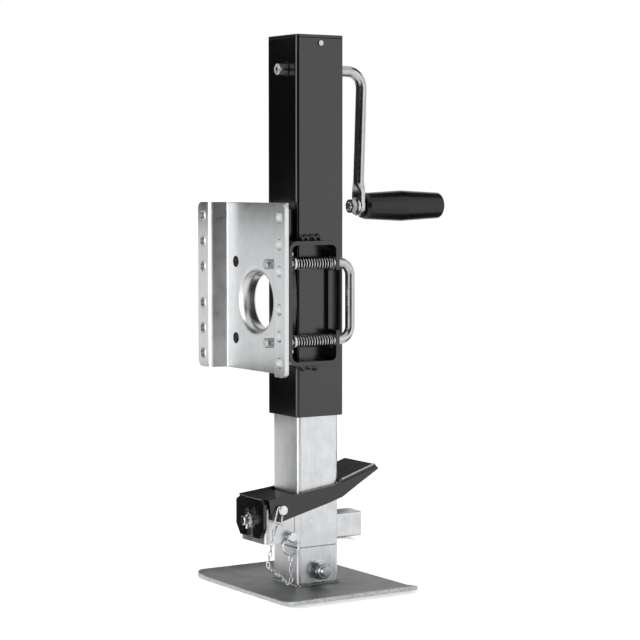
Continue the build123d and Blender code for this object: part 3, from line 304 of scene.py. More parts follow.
def steelFinish(name, look):
    # plated or rolled steel: blotches of two tones, lines drawn out along the axis that is scaled least,
    # and a satin roughness; blotch, lineWidth and bumpDepth are in mm
    material, tree, place, out = newMaterial(name)
    blotch = addNode(tree, "ShaderNodeTexNoise", {"Scale": perMetre(look["blotch"]), "Detail": 5.0,
                                                 "Roughness": 0.6}, {"Vector": place})
    stretch = addNode(tree, "ShaderNodeMapping", {"Scale": look["lines"]}, {"Vector": place})
    lines = addNode(tree, "ShaderNodeTexNoise", {"Scale": perMetre(look["lineWidth"]), "Detail": 4.0},
                    {"Vector": stretch.outputs[0]})
    share = addNode(tree, "ShaderNodeMath", {"operation": "MULTIPLY_ADD", 1: lineShare, 2: 0.0},
                    {0: lines.outputs[0]})
    both = addNode(tree, "ShaderNodeMath", {"operation": "MULTIPLY_ADD", 1: 1 - lineShare},
                   {0: blotch.outputs[0], 2: share.outputs[0]})
    tones = addNode(tree, "ShaderNodeValToRGB", None, {0: both.outputs[0]})
    dark, light = tones.color_ramp.elements
    dark.position, light.position = tone["from"], tone["to"]
    dark.color, light.color = linearColour(look["dark"]), linearColour(look["light"])
    rough = addNode(tree, "ShaderNodeMapRange",
                    {"From Min": gloss["from"], "From Max": gloss["to"], "To Min": look["rough"][0],
                     "To Max": look["rough"][1]}, {"Value": blotch.outputs[0]})
    bump = addNode(tree, "ShaderNodeBump", {"Strength": look["bump"], "Distance": look["bumpDepth"] * mm},
                   {"Height": both.outputs[0]})
    colour = tones.outputs[0]
    if "paintedShade" in look:
        # painted shade: 1 between the two places along X, falling to 0 over the fade outside them, where
        # the colour is mixed towards the dark shade colour
        paintedShade = look["paintedShade"]
        along = addNode(tree, "ShaderNodeSeparateXYZ", None, {0: place})
        first, last, fade = paintedShade["from"] * mm, paintedShade["to"] * mm, paintedShade["fade"] * mm
        after = addNode(tree, "ShaderNodeMapRange", {"From Min": first - fade, "From Max": first},
                        {"Value": along.outputs[0]})
        before = addNode(tree, "ShaderNodeMapRange", {"From Min": last + fade, "From Max": last},
                         {"Value": along.outputs[0]})
        inside = addNode(tree, "ShaderNodeMath", {"operation": "MULTIPLY"},
                         {0: after.outputs[0], 1: before.outputs[0]})
        paintedShaded = addNode(tree, "ShaderNodeMix", {"data_type": "RGBA", 7: linearColour(paintedShade["colour"])},
                          {0: inside.outputs[0], 6: colour})
        colour = paintedShaded.outputs[2]
    shader = addNode(tree, "ShaderNodeBsdfPrincipled", {"Metallic": look.get("metallic", 1.0)},
                     {"Base Color": colour, "Roughness": rough.outputs[0], "Normal": bump.outputs[0]})
    tree.links.new(shader.outputs[0], out.inputs[0])
    return material


# real rolling lines and grain are too fine to show in the picture, so their widths here start at 0.5 mm

# zinc plated sheet, satin: pale even grey with faint clouds
zincBright = steelFinish("zincPlatedSheet", {
    "dark": "#babbbc", "light": "#cfd0d1", "blotch": 22, "lines": (1, 1, 0.12), "lineWidth": 1.2,
    "rough": (0.27, 0.35), "bump": 0.04, "bumpDepth": 0.05})
# zinc plated tube: the rolling lines run up it, and the clouds are a little stronger
zincTube = steelFinish("zincPlatedTube", {
    "dark": "#b6b7b9", "light": "#d9dadb", "blotch": 16, "lines": (1, 1, 0.06), "lineWidth": 1.0,
    "rough": (0.28, 0.4), "bump": 0.14, "bumpDepth": 0.06})
# thick plate with a dull plated face: dark and light clouds the size of a coin
zincDull = steelFinish("zincPlatedPlate", {
    "dark": "#5c5d5e", "light": "#9a9b9c", "blotch": 24, "lines": (0.1, 1, 1), "lineWidth": 1.5,
    "rough": (0.42, 0.55), "bump": 0.2, "bumpDepth": 0.08})
# drawn bar with satin chrome: a soft mirror, its dark and bright stretches run along the bar
barLook = {"dark": "#9fa0a2", "light": "#bbbcbe", "blotch": 40, "lines": (1, 1, 1), "lineWidth": 4,
           "rough": (0.19, 0.25), "bump": 0.01, "bumpDepth": 0.02}
chromeBar = steelFinish("chromePlatedBar", barLook)
# the same bar, darkened between the two places along X where the two springs sit: painted shade inside the
# coils
paintedShadedBar = steelFinish("chromePlatedBarWithPaintedShade", {
    **barLook, "paintedShade": {"from": -45, "to": 6, "fade": 2, "colour": "#161617"}})
# bare steel with fine tears, as on the sawn shaft end; on the foot plate's rim and the tread's near edge
# its brighter tone is a painted highlight
bareSteelAndEdgeHighlight = steelFinish("bareSteelAndPaintedEdgeHighlight", {
    "dark": "#8e8f90", "light": "#dfe0e1", "blotch": 2.5, "lines": (1, 1, 1), "lineWidth": 0.5,
    "rough": (0.35, 0.5), "bump": 0.3, "bumpDepth": 0.05, "metallic": 0.5})
# bright zinc on small turned pins, nuts and washers
zincSmall = steelFinish("brightZincHardware", {
    "dark": "#c2c3c4", "light": "#e2e3e4", "blotch": 6, "lines": (1, 1, 1), "lineWidth": 0.6,
    "rough": (0.2, 0.3), "bump": 0.03, "bumpDepth": 0.03})
# hard drawn spring wire: bright, with a fine grain along it
springWire = steelFinish("hardDrawnSpringWire", {
    "dark": "#a8a9aa", "light": "#dadbdc", "blotch": 5, "lines": (1, 1, 1), "lineWidth": 0.5,
    "rough": (0.22, 0.34), "bump": 0.05, "bumpDepth": 0.02})
# oily dark steel of the parts inside the tube
machinedSteel = steelFinish("machinedSteel", {
    "dark": "#5c5c5e", "light": "#858688", "blotch": 9, "lines": (1, 1, 0.2), "lineWidth": 0.6,
    "rough": (0.3, 0.42), "bump": 0.1, "bumpDepth": 0.03})
# scale left on a weld: dull grey with dark spots
weldScale = steelFinish("weldScale", {
    "dark": "#4a4a4b", "light": "#9b9c9d", "blotch": 3, "lines": (1, 1, 1), "lineWidth": 0.8,
    "rough": (0.4, 0.6), "bump": 0.4, "bumpDepth": 0.2})


def blackEnamel(name, look):
    # stoved gloss enamel: deep black, a faint orange peel in the reflections, thin dust haze in the gloss
    material, tree, place, out = newMaterial(name)
    peel = addNode(tree, "ShaderNodeTexNoise", {"Scale": perMetre(look["peel"]), "Detail": 2.0},
                   {"Vector": place})
    haze = addNode(tree, "ShaderNodeTexNoise", {"Scale": perMetre(look["haze"]), "Detail": 4.0},
                   {"Vector": place})
    rough = addNode(tree, "ShaderNodeMapRange",
                    {"From Min": gloss["from"], "From Max": gloss["to"], "To Min": look["rough"][0],
                     "To Max": look["rough"][1]}, {"Value": haze.outputs[0]})
    bump = addNode(tree, "ShaderNodeBump", {"Strength": 0.1, "Distance": look["peelDepth"] * mm},
                   {"Height": peel.outputs[0]})
    shader = addNode(tree, "ShaderNodeBsdfPrincipled",
                     {"Base Color": linearColour(look["colour"]), "IOR": 1.6},
                     {"Roughness": rough.outputs[0], "Normal": bump.outputs[0]})
    tree.links.new(shader.outputs[0], out.inputs[0])
    return material


# gloss enamel on the rolled tube, and a thinner, wavier coat on bent strip and pressed sheet
enamelTube = blackEnamel("blackStovedEnamel", {
    "colour": "#0d0d0e", "peel": 2.2, "peelDepth": 0.05, "haze": 60, "rough": (0.16, 0.24)})
enamelForged = blackEnamel("blackEnamelOnSteelStrip", {
    "colour": "#101011", "peel": 1.4, "peelDepth": 0.08, "haze": 60, "rough": (0.18, 0.26)})


def gripFinish(name, look):
    # moulded black ABS: spark texture, satin; the real grain is too fine to show, so it is drawn coarser
    material, tree, place, out = newMaterial(name)
    grain = addNode(tree, "ShaderNodeTexNoise", {"Scale": perMetre(look["grain"]), "Detail": 3.0},
                    {"Vector": place})
    rough = addNode(tree, "ShaderNodeMapRange", {"To Min": look["rough"][0], "To Max": look["rough"][1]},
                    {"Value": grain.outputs[0]})
    bump = addNode(tree, "ShaderNodeBump", {"Strength": 0.12, "Distance": look["grainDepth"] * mm},
                   {"Height": grain.outputs[0]})
    shader = addNode(tree, "ShaderNodeBsdfPrincipled",
                     {"Base Color": linearColour(look["colour"]), "IOR": 1.5, "Specular IOR Level": 0.4},
                     {"Roughness": rough.outputs[0], "Normal": bump.outputs[0]})
    tree.links.new(shader.outputs[0], out.inputs[0])
    return material


def gritFinish(name, look):
    # sanded anti-slip coating: fine matt grains, with pale specks where one catches the light
    material, tree, place, out = newMaterial(name)
    grains = addNode(tree, "ShaderNodeTexVoronoi", {"Scale": perMetre(look["grain"])}, {"Vector": place})
    clumps = addNode(tree, "ShaderNodeTexNoise", {"Scale": perMetre(look["clump"]), "Detail": 5.0},
                     {"Vector": place})
    tones = addNode(tree, "ShaderNodeValToRGB", None, {0: clumps.outputs[0]})
    dark, light = tones.color_ramp.elements
    dark.position, light.position = look["specksFrom"], look["specksTo"]
    dark.color, light.color = linearColour(look["dark"]), linearColour(look["speck"])
    bump = addNode(tree, "ShaderNodeBump", {"Strength": 0.9, "Distance": look["grainDepth"] * mm},
                   {"Height": grains.outputs["Distance"]})
    shader = addNode(tree, "ShaderNodeBsdfPrincipled", {"Roughness": 0.8},
                     {"Base Color": tones.outputs[0], "Normal": bump.outputs[0]})
    tree.links.new(shader.outputs[0], out.inputs[0])
    return material


gripBlack = gripFinish("mouldedBlackABS", {"colour": "#0b0b0c", "grain": 0.7, "grainDepth": 0.03,
                                           "rough": (0.22, 0.32)})
treadGrit = gritFinish("antiSlipGrit", {"dark": "#0b0b0b", "speck": "#4a4a4a", "grain": 0.9, "clump": 3,
                                        "grainDepth": 0.5, "specksFrom": 0.5, "specksTo": 0.78})
print("materials made")


def finishPiece(piece, material, body, replaced=()):
    # one finish, the body that the piece rides on, and the CAD nodes it takes the place of
    piece.data.materials.clear()
    piece.data.materials.append(material)
    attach(piece, body)
    if replaced:
        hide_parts(*replaced)
    return piece


def paintNode(name, material):
    # a CAD node keeps its shape and gets a better finish
    node = nodes[name]
    if not node.material_slots:
        node.data.materials.append(material)
    for used in node.material_slots:
        used.material = material


# the room, and the camera as it was fitted to the photograph: heading and pitch in degrees, lens and
# sensor in mm; the floor's size and how far the camera sees are in metres
studio = {"camera": (-1272.4, -2001.1, 471.0), "heading": 32.853, "pitch": 3.923, "lens": 116.08,
          "sensor": 36.0, "sees": 50, "room": 0.5, "floorGlow": 0.6, "floorSize": 80}
# panels and cloths in metres: place of the middle, the heading they face in degrees round from +X, and
# width and height; a tilt of -90 lays one flat
panels = {
    "frontPanel": {"place": (0.78, -1.21, 0.62), "faces": 122.8, "size": (1.0, 1.24), "strength": 0.45},
    "sidePanel": {"place": (-2.2, -0.25, 0.8), "faces": 6.5, "size": (1.6, 1.6), "strength": 2.7}}
cloths = {
    "frontCloth": {"place": (-0.40, -1.95, 0.7), "faces": 78.0, "size": (1.8, 1.9)},
    "tubeCloth": {"place": (-0.23, 0.30, 0.555), "faces": -57.3, "size": (0.6, 0.27)},
    "skirtCloth": {"place": (-0.14, 0.16, 0.205), "faces": -57.3, "size": (0.3, 0.07)},
    "pedalCloth": {"place": (-0.155, 0.090, 0.085), "faces": -57.3, "size": (0.1, 0.16)},
    "treadCloth": {"place": (0.10, 0.24, 0.17), "faces": -122.7, "size": (0.2, 0.13)},
    "gripLowCloth": {"place": (0.40, 0.06, 0.10), "faces": -90.0, "size": (0.30, 0.50), "tilt": -90},
    "gripHighCloth": {"place": (0.40, 0.08, 0.80), "faces": -90.0, "size": (0.32, 0.44), "tilt": -90},
    "crankCloth": {"place": (-0.26, -0.27, 0.545), "faces": 39.0, "size": (0.336, 0.22)},
    "crankEyeCloth": {"place": (-0.066, 0.203, 0.428), "faces": -57.3, "size": (0.07, 0.075)}}


def makeCamera():
    # looks along (sin heading cos pitch, cos heading cos pitch, -sin pitch)
    data = bpy.data.cameras.new("photoCamera")
    camera = newObject("photoCamera", data)
    heading, pitch = math.radians(studio["heading"]), math.radians(studio["pitch"])
    level = math.cos(pitch)
    look = Vector((math.sin(heading) * level, math.cos(heading) * level, -math.sin(pitch)))
    camera.location = Vector(studio["camera"]) * mm
    camera.rotation_euler = look.to_track_quat("-Z", "Y").to_euler()
    data.lens, data.sensor_width, data.sensor_fit = studio["lens"], studio["sensor"], "HORIZONTAL"
    data.clip_end = studio["sees"]
    bpy.context.scene.camera = camera


def seenDirectly(tree):
    # 1 for rays from the camera and for those that a mirror or glass passes on, 0 for scattered light
    rays = addNode(tree, "ShaderNodeLightPath")
    two = addNode(tree, "ShaderNodeMath", {"operation": "MAXIMUM"},
                  {0: rays.outputs["Is Camera Ray"], 1: rays.outputs["Is Glossy Ray"]})
    three = addNode(tree, "ShaderNodeMath", {"operation": "MAXIMUM"},
                    {0: two.outputs[0], 1: rays.outputs["Is Transmission Ray"]})
    return three.outputs[0]


def flatSheet(name, width, height, material):
    # a rectangle in metres round its own middle, at z = 0
    mesh = bpy.data.meshes.new(name)
    w, h = width / 2, height / 2
    mesh.from_pydata([(-w, -h, 0), (w, -h, 0), (w, h, 0), (-w, h, 0)], [], [(0, 1, 2, 3)])
    mesh.materials.append(material)
    sheet = newObject(name, mesh)
    return sheet


def makeFloor():
    # pale painted floor: its own light brings it up to white and leaves the object's shadow on it
    material, tree, _, out = newMaterial("palePaintedFloor")
    paint = addNode(tree, "ShaderNodeBsdfDiffuse", {"Color": linearColour("#f4f4f4")})
    level = addNode(tree, "ShaderNodeMath", {"operation": "MULTIPLY", 1: studio["floorGlow"]},
                    {0: seenDirectly(tree)})
    glow = addNode(tree, "ShaderNodeEmission", {"Color": (1, 1, 1, 1)}, {"Strength": level.outputs[0]})
    both = addNode(tree, "ShaderNodeAddShader", None, {0: paint.outputs[0], 1: glow.outputs[0]})
    tree.links.new(both.outputs[0], out.inputs[0])
    flatSheet("floor", studio["floorSize"], studio["floorSize"], material)


def makeRoom():
    # an even pale room: white where it is seen or mirrored, half as strong where it only gives light
    world = bpy.data.worlds.new("paleRoom")
    bpy.context.scene.world = world
    world.use_nodes = True
    tree = world.node_tree
    tree.nodes.clear()
    strength = addNode(tree, "ShaderNodeMapRange", {"To Min": studio["room"], "To Max": 1.0},
                       {"Value": seenDirectly(tree)})
    shine = addNode(tree, "ShaderNodeBackground", {"Color": (1, 1, 1, 1)},
                    {"Strength": strength.outputs[0]})
    out = addNode(tree, "ShaderNodeOutputWorld")
    tree.links.new(shine.outputs[0], out.inputs[0])


def stand(thing, spec):
    # upright unless it is tilted; its -Z side, where a panel shines, looks along the heading in the spec
    thing.location = spec["place"]
    thing.rotation_euler = (math.radians(90 + spec.get("tilt", 0)), 0, math.radians(spec["faces"] - 90))


def areaLight(name, spec):
    # strength is the panel's own brightness: watts = strength * pi * area for a one sided panel
    data = bpy.data.lights.new(name, "AREA")
    data.shape, data.size, data.size_y = "RECTANGLE", *spec["size"]
    data.energy = spec["strength"] * math.pi * spec["size"][0] * spec["size"][1]
    light = newObject(name, data)
    light.visible_camera = False
    stand(light, spec)


def clothFinish():
    # black studio cloth: it swallows nearly all light
    material, tree, _, out = newMaterial("blackStudioCloth")
    weave = addNode(tree, "ShaderNodeBsdfDiffuse", {"Color": linearColour("#050505")})
    tree.links.new(weave.outputs[0], out.inputs[0])
    return material


def blackCloth(name, spec, material):
    # only reflections see it, so that gloss black stays deep and chrome gets its dark lines
    sheet = flatSheet(name, *spec["size"], material)
    stand(sheet, spec)
    sheet.visible_camera = sheet.visible_diffuse = sheet.visible_shadow = False


makeCamera()
makeFloor()
makeRoom()
for name, spec in panels.items():
    areaLight(name, spec)
studioCloth = clothFinish()
for name, spec in cloths.items():
    blackCloth(name, spec, studioCloth)
print("camera, floor and light set")

outerTube = {"side": 63.5, "wall": 3.2, "low": 200.0, "high": 629.5, "corner": 4.0, "edge": 0.5}
legTube = {"side": 55.0, "wall": 3.0, "low": 49.9, "high": 485.5, "corner": 4.3, "edge": 0.4}
socket = {"side": 55.0, "wall": 3.5, "low": 5.0, "high": 49.4, "corner": 4.3, "edge": 0.5}
# the stop tube lies along X, with its axis at this height
stopTube = {"side": 29.5, "wall": 3.0, "low": 27.5, "high": 68.0, "corner": 3.0, "edge": 0.4,
            "axisZ": 68.0}
leastCorner = 0.6


def squareRows(side, corner, steps):
    # a square outline for each step (inset, height), its corners never sharper than leastCorner
    rows = []
    for inset, h in steps:
        outline = squareLoop(side - 2 * inset, side - 2 * inset, max(corner - inset, leastCorner))
        rows.append(np.column_stack([outline, np.full(len(outline), h)]))
    return np.array(rows)


def squareTube(name, tube):
    # closed skin: up the outer wall, over the rim, down the bore and over the lower rim
    wall, edge, low, high = tube["wall"], tube["edge"], tube["low"], tube["high"]
    steps = [(edge, low), (0, low + edge), (0, high - edge), (edge, high), (wall - edge, high),
             (wall, high - edge), (wall, low + edge), (wall - edge, low)]
    grid = squareRows(tube["side"], tube["corner"], steps)
    if "axisZ" in tube:
        grid = grid[..., [2, 0, 1]] + np.array([0, 0, tube["axisZ"]])
    return surface(name, grid, closeRows=True)


for name, tube, material, body, slot, node in (
        ("outerTubeSkin", outerTube, enamelTube, "jack_tube", "black_paint", "outer_tube"),
        ("legTubeSkin", legTube, zincTube, "leg", "zinc", "leg_tube"),
        ("footSocketSkin", socket, zincTube, "leg", "zinc", "foot_socket"),
        ("stopTubeSkin", stopTube, zincTube, "leg", "zinc", "stop_tube")):
    finishPiece(squareTube(name, tube), material, body, [node])

cap = {"thick": 3.5, "round": 0.9, "seam": 0.35, "under": 1.5}


def makeCap():
    # rounded square plate; rows step inwards at the seam and over the top edge
    low, high = outerTube["high"], outerTube["high"] + cap["thick"]
    a = np.linspace(0, math.pi / 2, 5)
    steps = [(cap["seam"] + cap["under"], low), (cap["seam"], low), (0, low + cap["seam"])]
    steps += [(cap["round"] * (1 - math.cos(t)), high - cap["round"] * (1 - math.sin(t))) for t in a]
    return surface("topCapSkin", squareRows(outerTube["side"], outerTube["corner"], steps), caps=True)


finishPiece(makeCap(), enamelTube, "jack_tube", ["top_cap"])
print("tubes and cap made")

# faceSteps: how far in from the rim the rows of the two flat faces lie
foot = {"sizeX": 172.0, "sizeY": 222.0, "thick": 5.0, "corner": 12.0, "curlWidth": 30.0, "curlRise": 4.0,
        "leastCorner": 1.0, "edge": 1.0, "sideSteps": 12,
        "faceSteps": (3.0, 8.0, 16.0, 26.0, 38.0, 52.0, 68.0, 80.0)}


def curlHeight(y):
    # height of the sheet: 0 on the flat, then a circle of radius (w^2 + r^2) / 2r past the bend line
    radius = (foot["curlWidth"] ** 2 + foot["curlRise"] ** 2) / (2 * foot["curlRise"])
    past = np.clip(np.abs(y) - (foot["sizeY"] / 2 - foot["curlWidth"]), 0, None)
    return radius - np.sqrt(radius ** 2 - past ** 2)


def makeFootPlate():
    # outlines shrink from the rim to the middle on both faces; the rim is a quarter round on each side
    edge, thick = foot["edge"], foot["thick"]
    a = np.linspace(0, math.pi / 2, 4)
    rim = np.stack([edge * (1 - np.sin(a)), edge * (1 - np.cos(a))], -1)
    face = np.array(foot["faceSteps"])
    inset = np.concatenate([face[::-1], rim[:, 0], rim[::-1, 0], face])
    base = np.concatenate([0 * face, rim[:, 1], thick - rim[::-1, 1], thick + 0 * face])
    rows = []
    for k in range(len(inset)):
        corner = max(foot["corner"] - inset[k], foot["leastCorner"])
        outline = squareLoop(foot["sizeX"] - 2 * inset[k], foot["sizeY"] - 2 * inset[k], corner, 8)
        # each side cut into equal steps, so that the curl is round along the long sides too
        after = np.roll(outline, -1, 0)
        share = np.linspace(0, 1, foot["sideSteps"], endpoint=False)[:, None, None]
        fine = (outline + (after - outline) * share).transpose(1, 0, 2).reshape(-1, 2)
        rows.append(np.column_stack([fine, base[k] + curlHeight(fine[:, 1])]))
    piece = surface("footPlateSkin", np.array(rows), caps=True)
    finishPiece(piece, zincDull, "leg", ["foot_plate"])
    # the quads of the rim, between the two faces, take a second, brighter material: a painted highlight on
    # the rim
    rimHighlightSlots = np.zeros(len(piece.data.polygons), np.int32)
    rimHighlightSlots[len(fine) * len(face):len(fine) * (len(inset) - len(face) - 1)] = 1
    piece.data.materials.append(bareSteelAndEdgeHighlight)
    piece.data.polygons.foreach_set("material_index", rimHighlightSlots)


makeFootPlate()
print("foot plate made")

# the bar goes round to flat between roundZ and flatZ; lean is in degrees, and squareness is how square the
# flat end's section gets
crank = {"shaftZ": 594.0, "shaftY": -7.0, "radius": 6.35, "endX": -43.0, "endChamfer": 0.9, "armX": 68.6,
         "lean": 1.9, "bend": 19.0, "roundZ": 468.0, "flatZ": 453.0, "thick": 7.0, "width": 20.0,
         "eye": 22.0, "eyeFrom": -0.42, "tipWidth": 0.2, "squareness": 4.5, "gripZ": 439.0, "turns": 32,
         "leastStep": 0.5}


def makeCrank():
    # round bar along the bent path, then sections |x/a|^p + |y/b|^p = 1 that flatten into the paddle
    c = crank
    cornerX = c["armX"] + (c["shaftZ"] - c["roundZ"]) * math.tan(math.radians(c["lean"]))
    path = bentPath([(c["endX"], c["shaftY"], c["shaftZ"]), (cornerX, c["shaftY"], c["shaftZ"]),
                     (c["armX"], c["shaftY"], c["roundZ"])], c["bend"], 16)
    normal = np.array([0, -1.0, 0])
    side = np.cross(unit(np.gradient(path, axis=0)), normal)
    t = fullTurn(c["turns"])
    path = np.concatenate([path[:1], path[:1] + [[c["endChamfer"], 0, 0]], path[1:]])
    side = np.concatenate([side[:1], side[:1], side[1:]])
    r = np.full(len(path), c["radius"])
    r[0] -= c["endChamfer"]
    upper = tubeGrid(path, r, side, normal, c["turns"])
    # lower part: s runs 0 to 1 from round to flat, and b follows the eye's circle round the bolt
    blend = np.linspace(0, 1, 8)[1:]
    straight = np.linspace(c["flatZ"], c["gripZ"], 4)[1:]
    low = c["gripZ"] - c["eye"] / 2 * np.sin(np.linspace(c["eyeFrom"], math.pi / 2, 14))
    straight = straight[straight > low[0] + c["leastStep"]]
    z = np.concatenate([c["roundZ"] + (c["flatZ"] - c["roundZ"]) * blend, straight, low])
    s = np.clip((c["roundZ"] - z) / (c["roundZ"] - c["flatZ"]), 0, 1)
    s = s * s * (3 - 2 * s)
    a = c["radius"] + (c["thick"] / 2 - c["radius"]) * s
    b = c["radius"] + (c["width"] / 2 - c["radius"]) * s
    eye = np.sqrt(np.maximum((c["eye"] / 2) ** 2 - (c["gripZ"] - z) ** 2, c["tipWidth"] ** 2))
    b = np.where(z < c["gripZ"], eye, np.maximum(b, eye))
    power = (2 / (2 + c["squareness"] * s))[:, None]
    wide = np.sign(np.cos(t))[None] * np.abs(np.cos(t))[None] ** power
    deep = np.sign(np.sin(t))[None] * np.abs(np.sin(t))[None] ** power
    # at the bend's end the side vector is +X or -X: keep the same sense
    sense = np.sign(side[-1][0])
    lower = np.stack([c["armX"] + sense * a[:, None] * wide, c["shaftY"] - b[:, None] * deep,
                      np.repeat(z[:, None], len(t), 1)], -1)
    return surface("crankBar", np.concatenate([upper, lower]), caps=True)


finishPiece(makeCrank(), chromeBar, "crank", ["crank_rod"])
# the sawn end of the shaft with its centre mark: (out from the shaft's end, radius)
shaftEnd = [(-0.6, 5.3), (0.1, 5.3), (0.3, 5.0), (0.3, 2.4), (-0.5, 1.2)]
shaftPlace = (crank["endX"], crank["shaftY"], crank["shaftZ"])
finishPiece(lathe("shaftEndFace", shaftEnd, shaftPlace, (-1, 0, 0), 40), bareSteelAndEdgeHighlight, "crank")

# headDepth is how far the head's inner face lies behind the grip's end; the nut bears on the crank
gripBolt = {"radius": 5.0, "corner": 8.0, "head": 6.0, "headDepth": 8.5, "fit": 0.1, "tip": 53.6,
            "thread": {"pitch": 1.5, "depth": 0.6, "tip": 1.2}}
gripNut = {"faceX": 63.5, "corner": 9.2, "length": 6.5, "bore": 5.05,
           "flange": ((0, 8.8), (0.7, 9.6), (1.4, 9.6))}
# shoulder: (in from the left end, how much smaller than the end radius); crown: (from the middle, how much
# smaller than the middle radius)
grip = {"left": 72.7, "length": 110.0, "endRadius": 15.4, "middleRadius": 18.0, "nose": 3.2, "bore": 5.1,
        "recessGap": 1.0, "recessDepth": 9.0, "recessEdge": 0.4,
        "shoulder": ((0, 2.6), (0.5, 1.6), (4.2, 0.4), (5.2, 0)),
        "crown": ((-5, 0.22), (-2, 0.03), (0, 0), (2, 0.03), (5, 0.22))}
gripAxis = (0, crank["shaftY"], crank["gripZ"])
gripRight = grip["left"] + grip["length"]


def makeGrip():
    # barrel: a straight cone up to a crown at the middle, another down to the round right end
    g = grip
    centre = (g["left"] + gripRight) / 2
    recess = gripBolt["corner"] + g["recessGap"]
    a = np.linspace(0, math.pi / 2, 9)
    profile = [(g["left"], g["bore"])]
    profile += [(g["left"] + x, g["endRadius"] - less) for x, less in g["shoulder"]]
    profile += [(centre + x, g["middleRadius"] - less) for x, less in g["crown"]]
    profile += [(gripRight - g["nose"] * (1 - math.sin(t)), g["endRadius"] - g["nose"] * (1 - math.cos(t)))
                for t in a]
    profile += [(gripRight, recess + g["recessEdge"]), (gripRight - g["recessEdge"], recess),
                (gripRight - g["recessDepth"], recess), (gripRight - g["recessDepth"], g["bore"]),
                (g["left"], g["bore"])]
    return lathe("handGripSkin", profile, gripAxis, (1, 0, 0), 64)


finishPiece(makeGrip(), gripBlack, "grip", ["hand_grip"])


def makeGripBolt():
    # hexagon head in the recess, plain shank through the grip, threaded tip beyond the crank
    headX, faceX = gripRight - gripBolt["headDepth"], gripNut["faceX"]
    head = hexPiece("boltHead", (headX, *gripAxis[1:]), (1, 0, 0), gripBolt["corner"], gripBolt["head"])
    radius = gripBolt["radius"] - gripBolt["fit"]
    shank = lathe("boltShank", [(faceX, radius), (headX - gripBolt["fit"], radius)], gripAxis, (1, 0, 0),
                  24)
    tip = threadedRod("boltTip", (faceX, *gripAxis[1:]), (-1, 0, 0), gripBolt["radius"],
                      faceX - gripBolt["tip"], gripBolt["thread"])
    return joined("gripBoltPiece", [head, shank, tip])


finishPiece(makeGripBolt(), zincSmall, "crank", ["grip_bolt"])


def makeGripNut():
    # a flanged hexagon nut, its flange against the crank
    g = gripNut
    flangeX = g["faceX"] - g["flange"][-1][0]
    nut = hexPiece("nutHex", (flangeX - g["length"], *gripAxis[1:]), (1, 0, 0), g["corner"], g["length"],
                   g["bore"])
    flange = boredRing("nutFlange", g["flange"], g["bore"], (flangeX, *gripAxis[1:]), (1, 0, 0))
    return joined("gripNutPiece", [nut, flange])


finishPiece(makeGripNut(), chromeBar, "crank", ["grip_nut"])
print("crank and grip made")

handle = {"radius": 5.5, "y": -44.0, "tipX": -82.0, "gripX": 32.0, "bend": 15.0, "low": 288.0,
          "high": 376.0, "chamfer": 1.4}


def makeHandle():
    # one bent bar: both of its ends are locking pins
    h = handle
    path = bentPath([(h["tipX"], h["y"], h["low"]), (h["gripX"], h["y"], h["low"]),
                     (h["gripX"], h["y"], h["high"]), (h["tipX"], h["y"], h["high"])], h["bend"], 14)
    return rod("pullHandleRod", path, h["radius"], (0, 1, 0), 28, chamfer=h["chamfer"])


finishPiece(makeHandle(), paintedShadedBar, "handle", ["pull_handle"])

# springs along X: mean and wire are radii; in the real jack the end called fixed stays while the motion
# closes the coil
handleSpring = {"from": -44.4, "to": 5.8, "mean": 6.45, "wire": 0.75, "coils": 15, "travel": 22.0,
                "body": "jack_tube", "motion": "handle_pull", "fixed": "to"}
plungerSpring = {"from": -66.9, "to": -40.1, "mean": 7.6, "wire": 0.95, "coils": 6, "travel": 11.8,
                 "body": "leg", "motion": "plunger_pull", "fixed": "from", "z": 83.0}


def coilWire(name, place, spec, turns=12, perCoil=28):
    # centre(t) = x(t) * X + mean * (cos 2 pi t, sin 2 pi t); the first and last coil lie closed
    t = np.linspace(0, spec["coils"], spec["coils"] * perCoil + 1)
    share = np.clip((t - 1) / (spec["coils"] - 2), 0, 1)
    closedCoil = 2 * spec["wire"]
    x0, x1 = spec["from"] + spec["wire"], spec["to"] - spec["wire"]
    x = x0 + closedCoil * np.clip(t, 0, 1) + (x1 - x0 - 2 * closedCoil) * share
    x = x + closedCoil * np.clip(t - (spec["coils"] - 1), 0, 1)
    a = 2 * math.pi * t
    out = np.stack([np.zeros_like(a), np.cos(a), np.sin(a)], -1)
    centre = np.stack([x, np.zeros_like(x), np.zeros_like(x)], -1) + spec["mean"] * out + np.array(place)
    up = np.cross(unit(np.gradient(centre, axis=0)), out)
    return surface(name, tubeGrid(centre, spec["wire"], out, up, turns), caps=True, sharpAngle=60)


def makeSpring(name, node, place, spec):
    # a coil of spring wire in place of the CAD node, riding on its body
    coil = finishPiece(coilWire(name, place, spec), springWire, spec["body"], [node])
    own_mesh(coil)


makeSpring("lowerCoil", "lower_spring", (0, handle["y"], handle["low"]), handleSpring)
makeSpring("upperCoil", "upper_spring", (0, handle["y"], handle["high"]), handleSpring)
# hidden in its housing, whose end holds it while the plunger's shoulder presses it
makeSpring("plungerCoil", "plunger_spring", (0, 0, plungerSpring["z"]), plungerSpring)
print("handle and springs made")

# the bolt runs along Y: its head and nut bear on washers whose outer faces lie at plus and minus faceY
footBolt = {"z": 22.0, "radius": 6.0, "fit": 0.1, "corner": 10.9, "faceY": 29.5, "headLength": 7.5,
            "threadY": -38.0, "threadLength": 7.5, "thread": {"pitch": 1.75, "depth": 0.7, "tip": 1.6},
            "nutLength": 9.0, "nutBore": 6.05, "nutInsert": ((0, 8.9), (2.2, 8.6), (3, 7.8))}


def makeFootNut():
    # a hexagon nut whose locking insert stands out of its far side
    f = footBolt
    nut = hexPiece("nutHex", (0, -f["faceY"], f["z"]), (0, -1, 0), f["corner"], f["nutLength"],
                   f["nutBore"])
    insert = boredRing("nutInsert", f["nutInsert"], f["nutBore"],
                       (0, -f["faceY"] - f["nutLength"], f["z"]), (0, -1, 0))
    return joined("footNutPiece", [nut, insert])


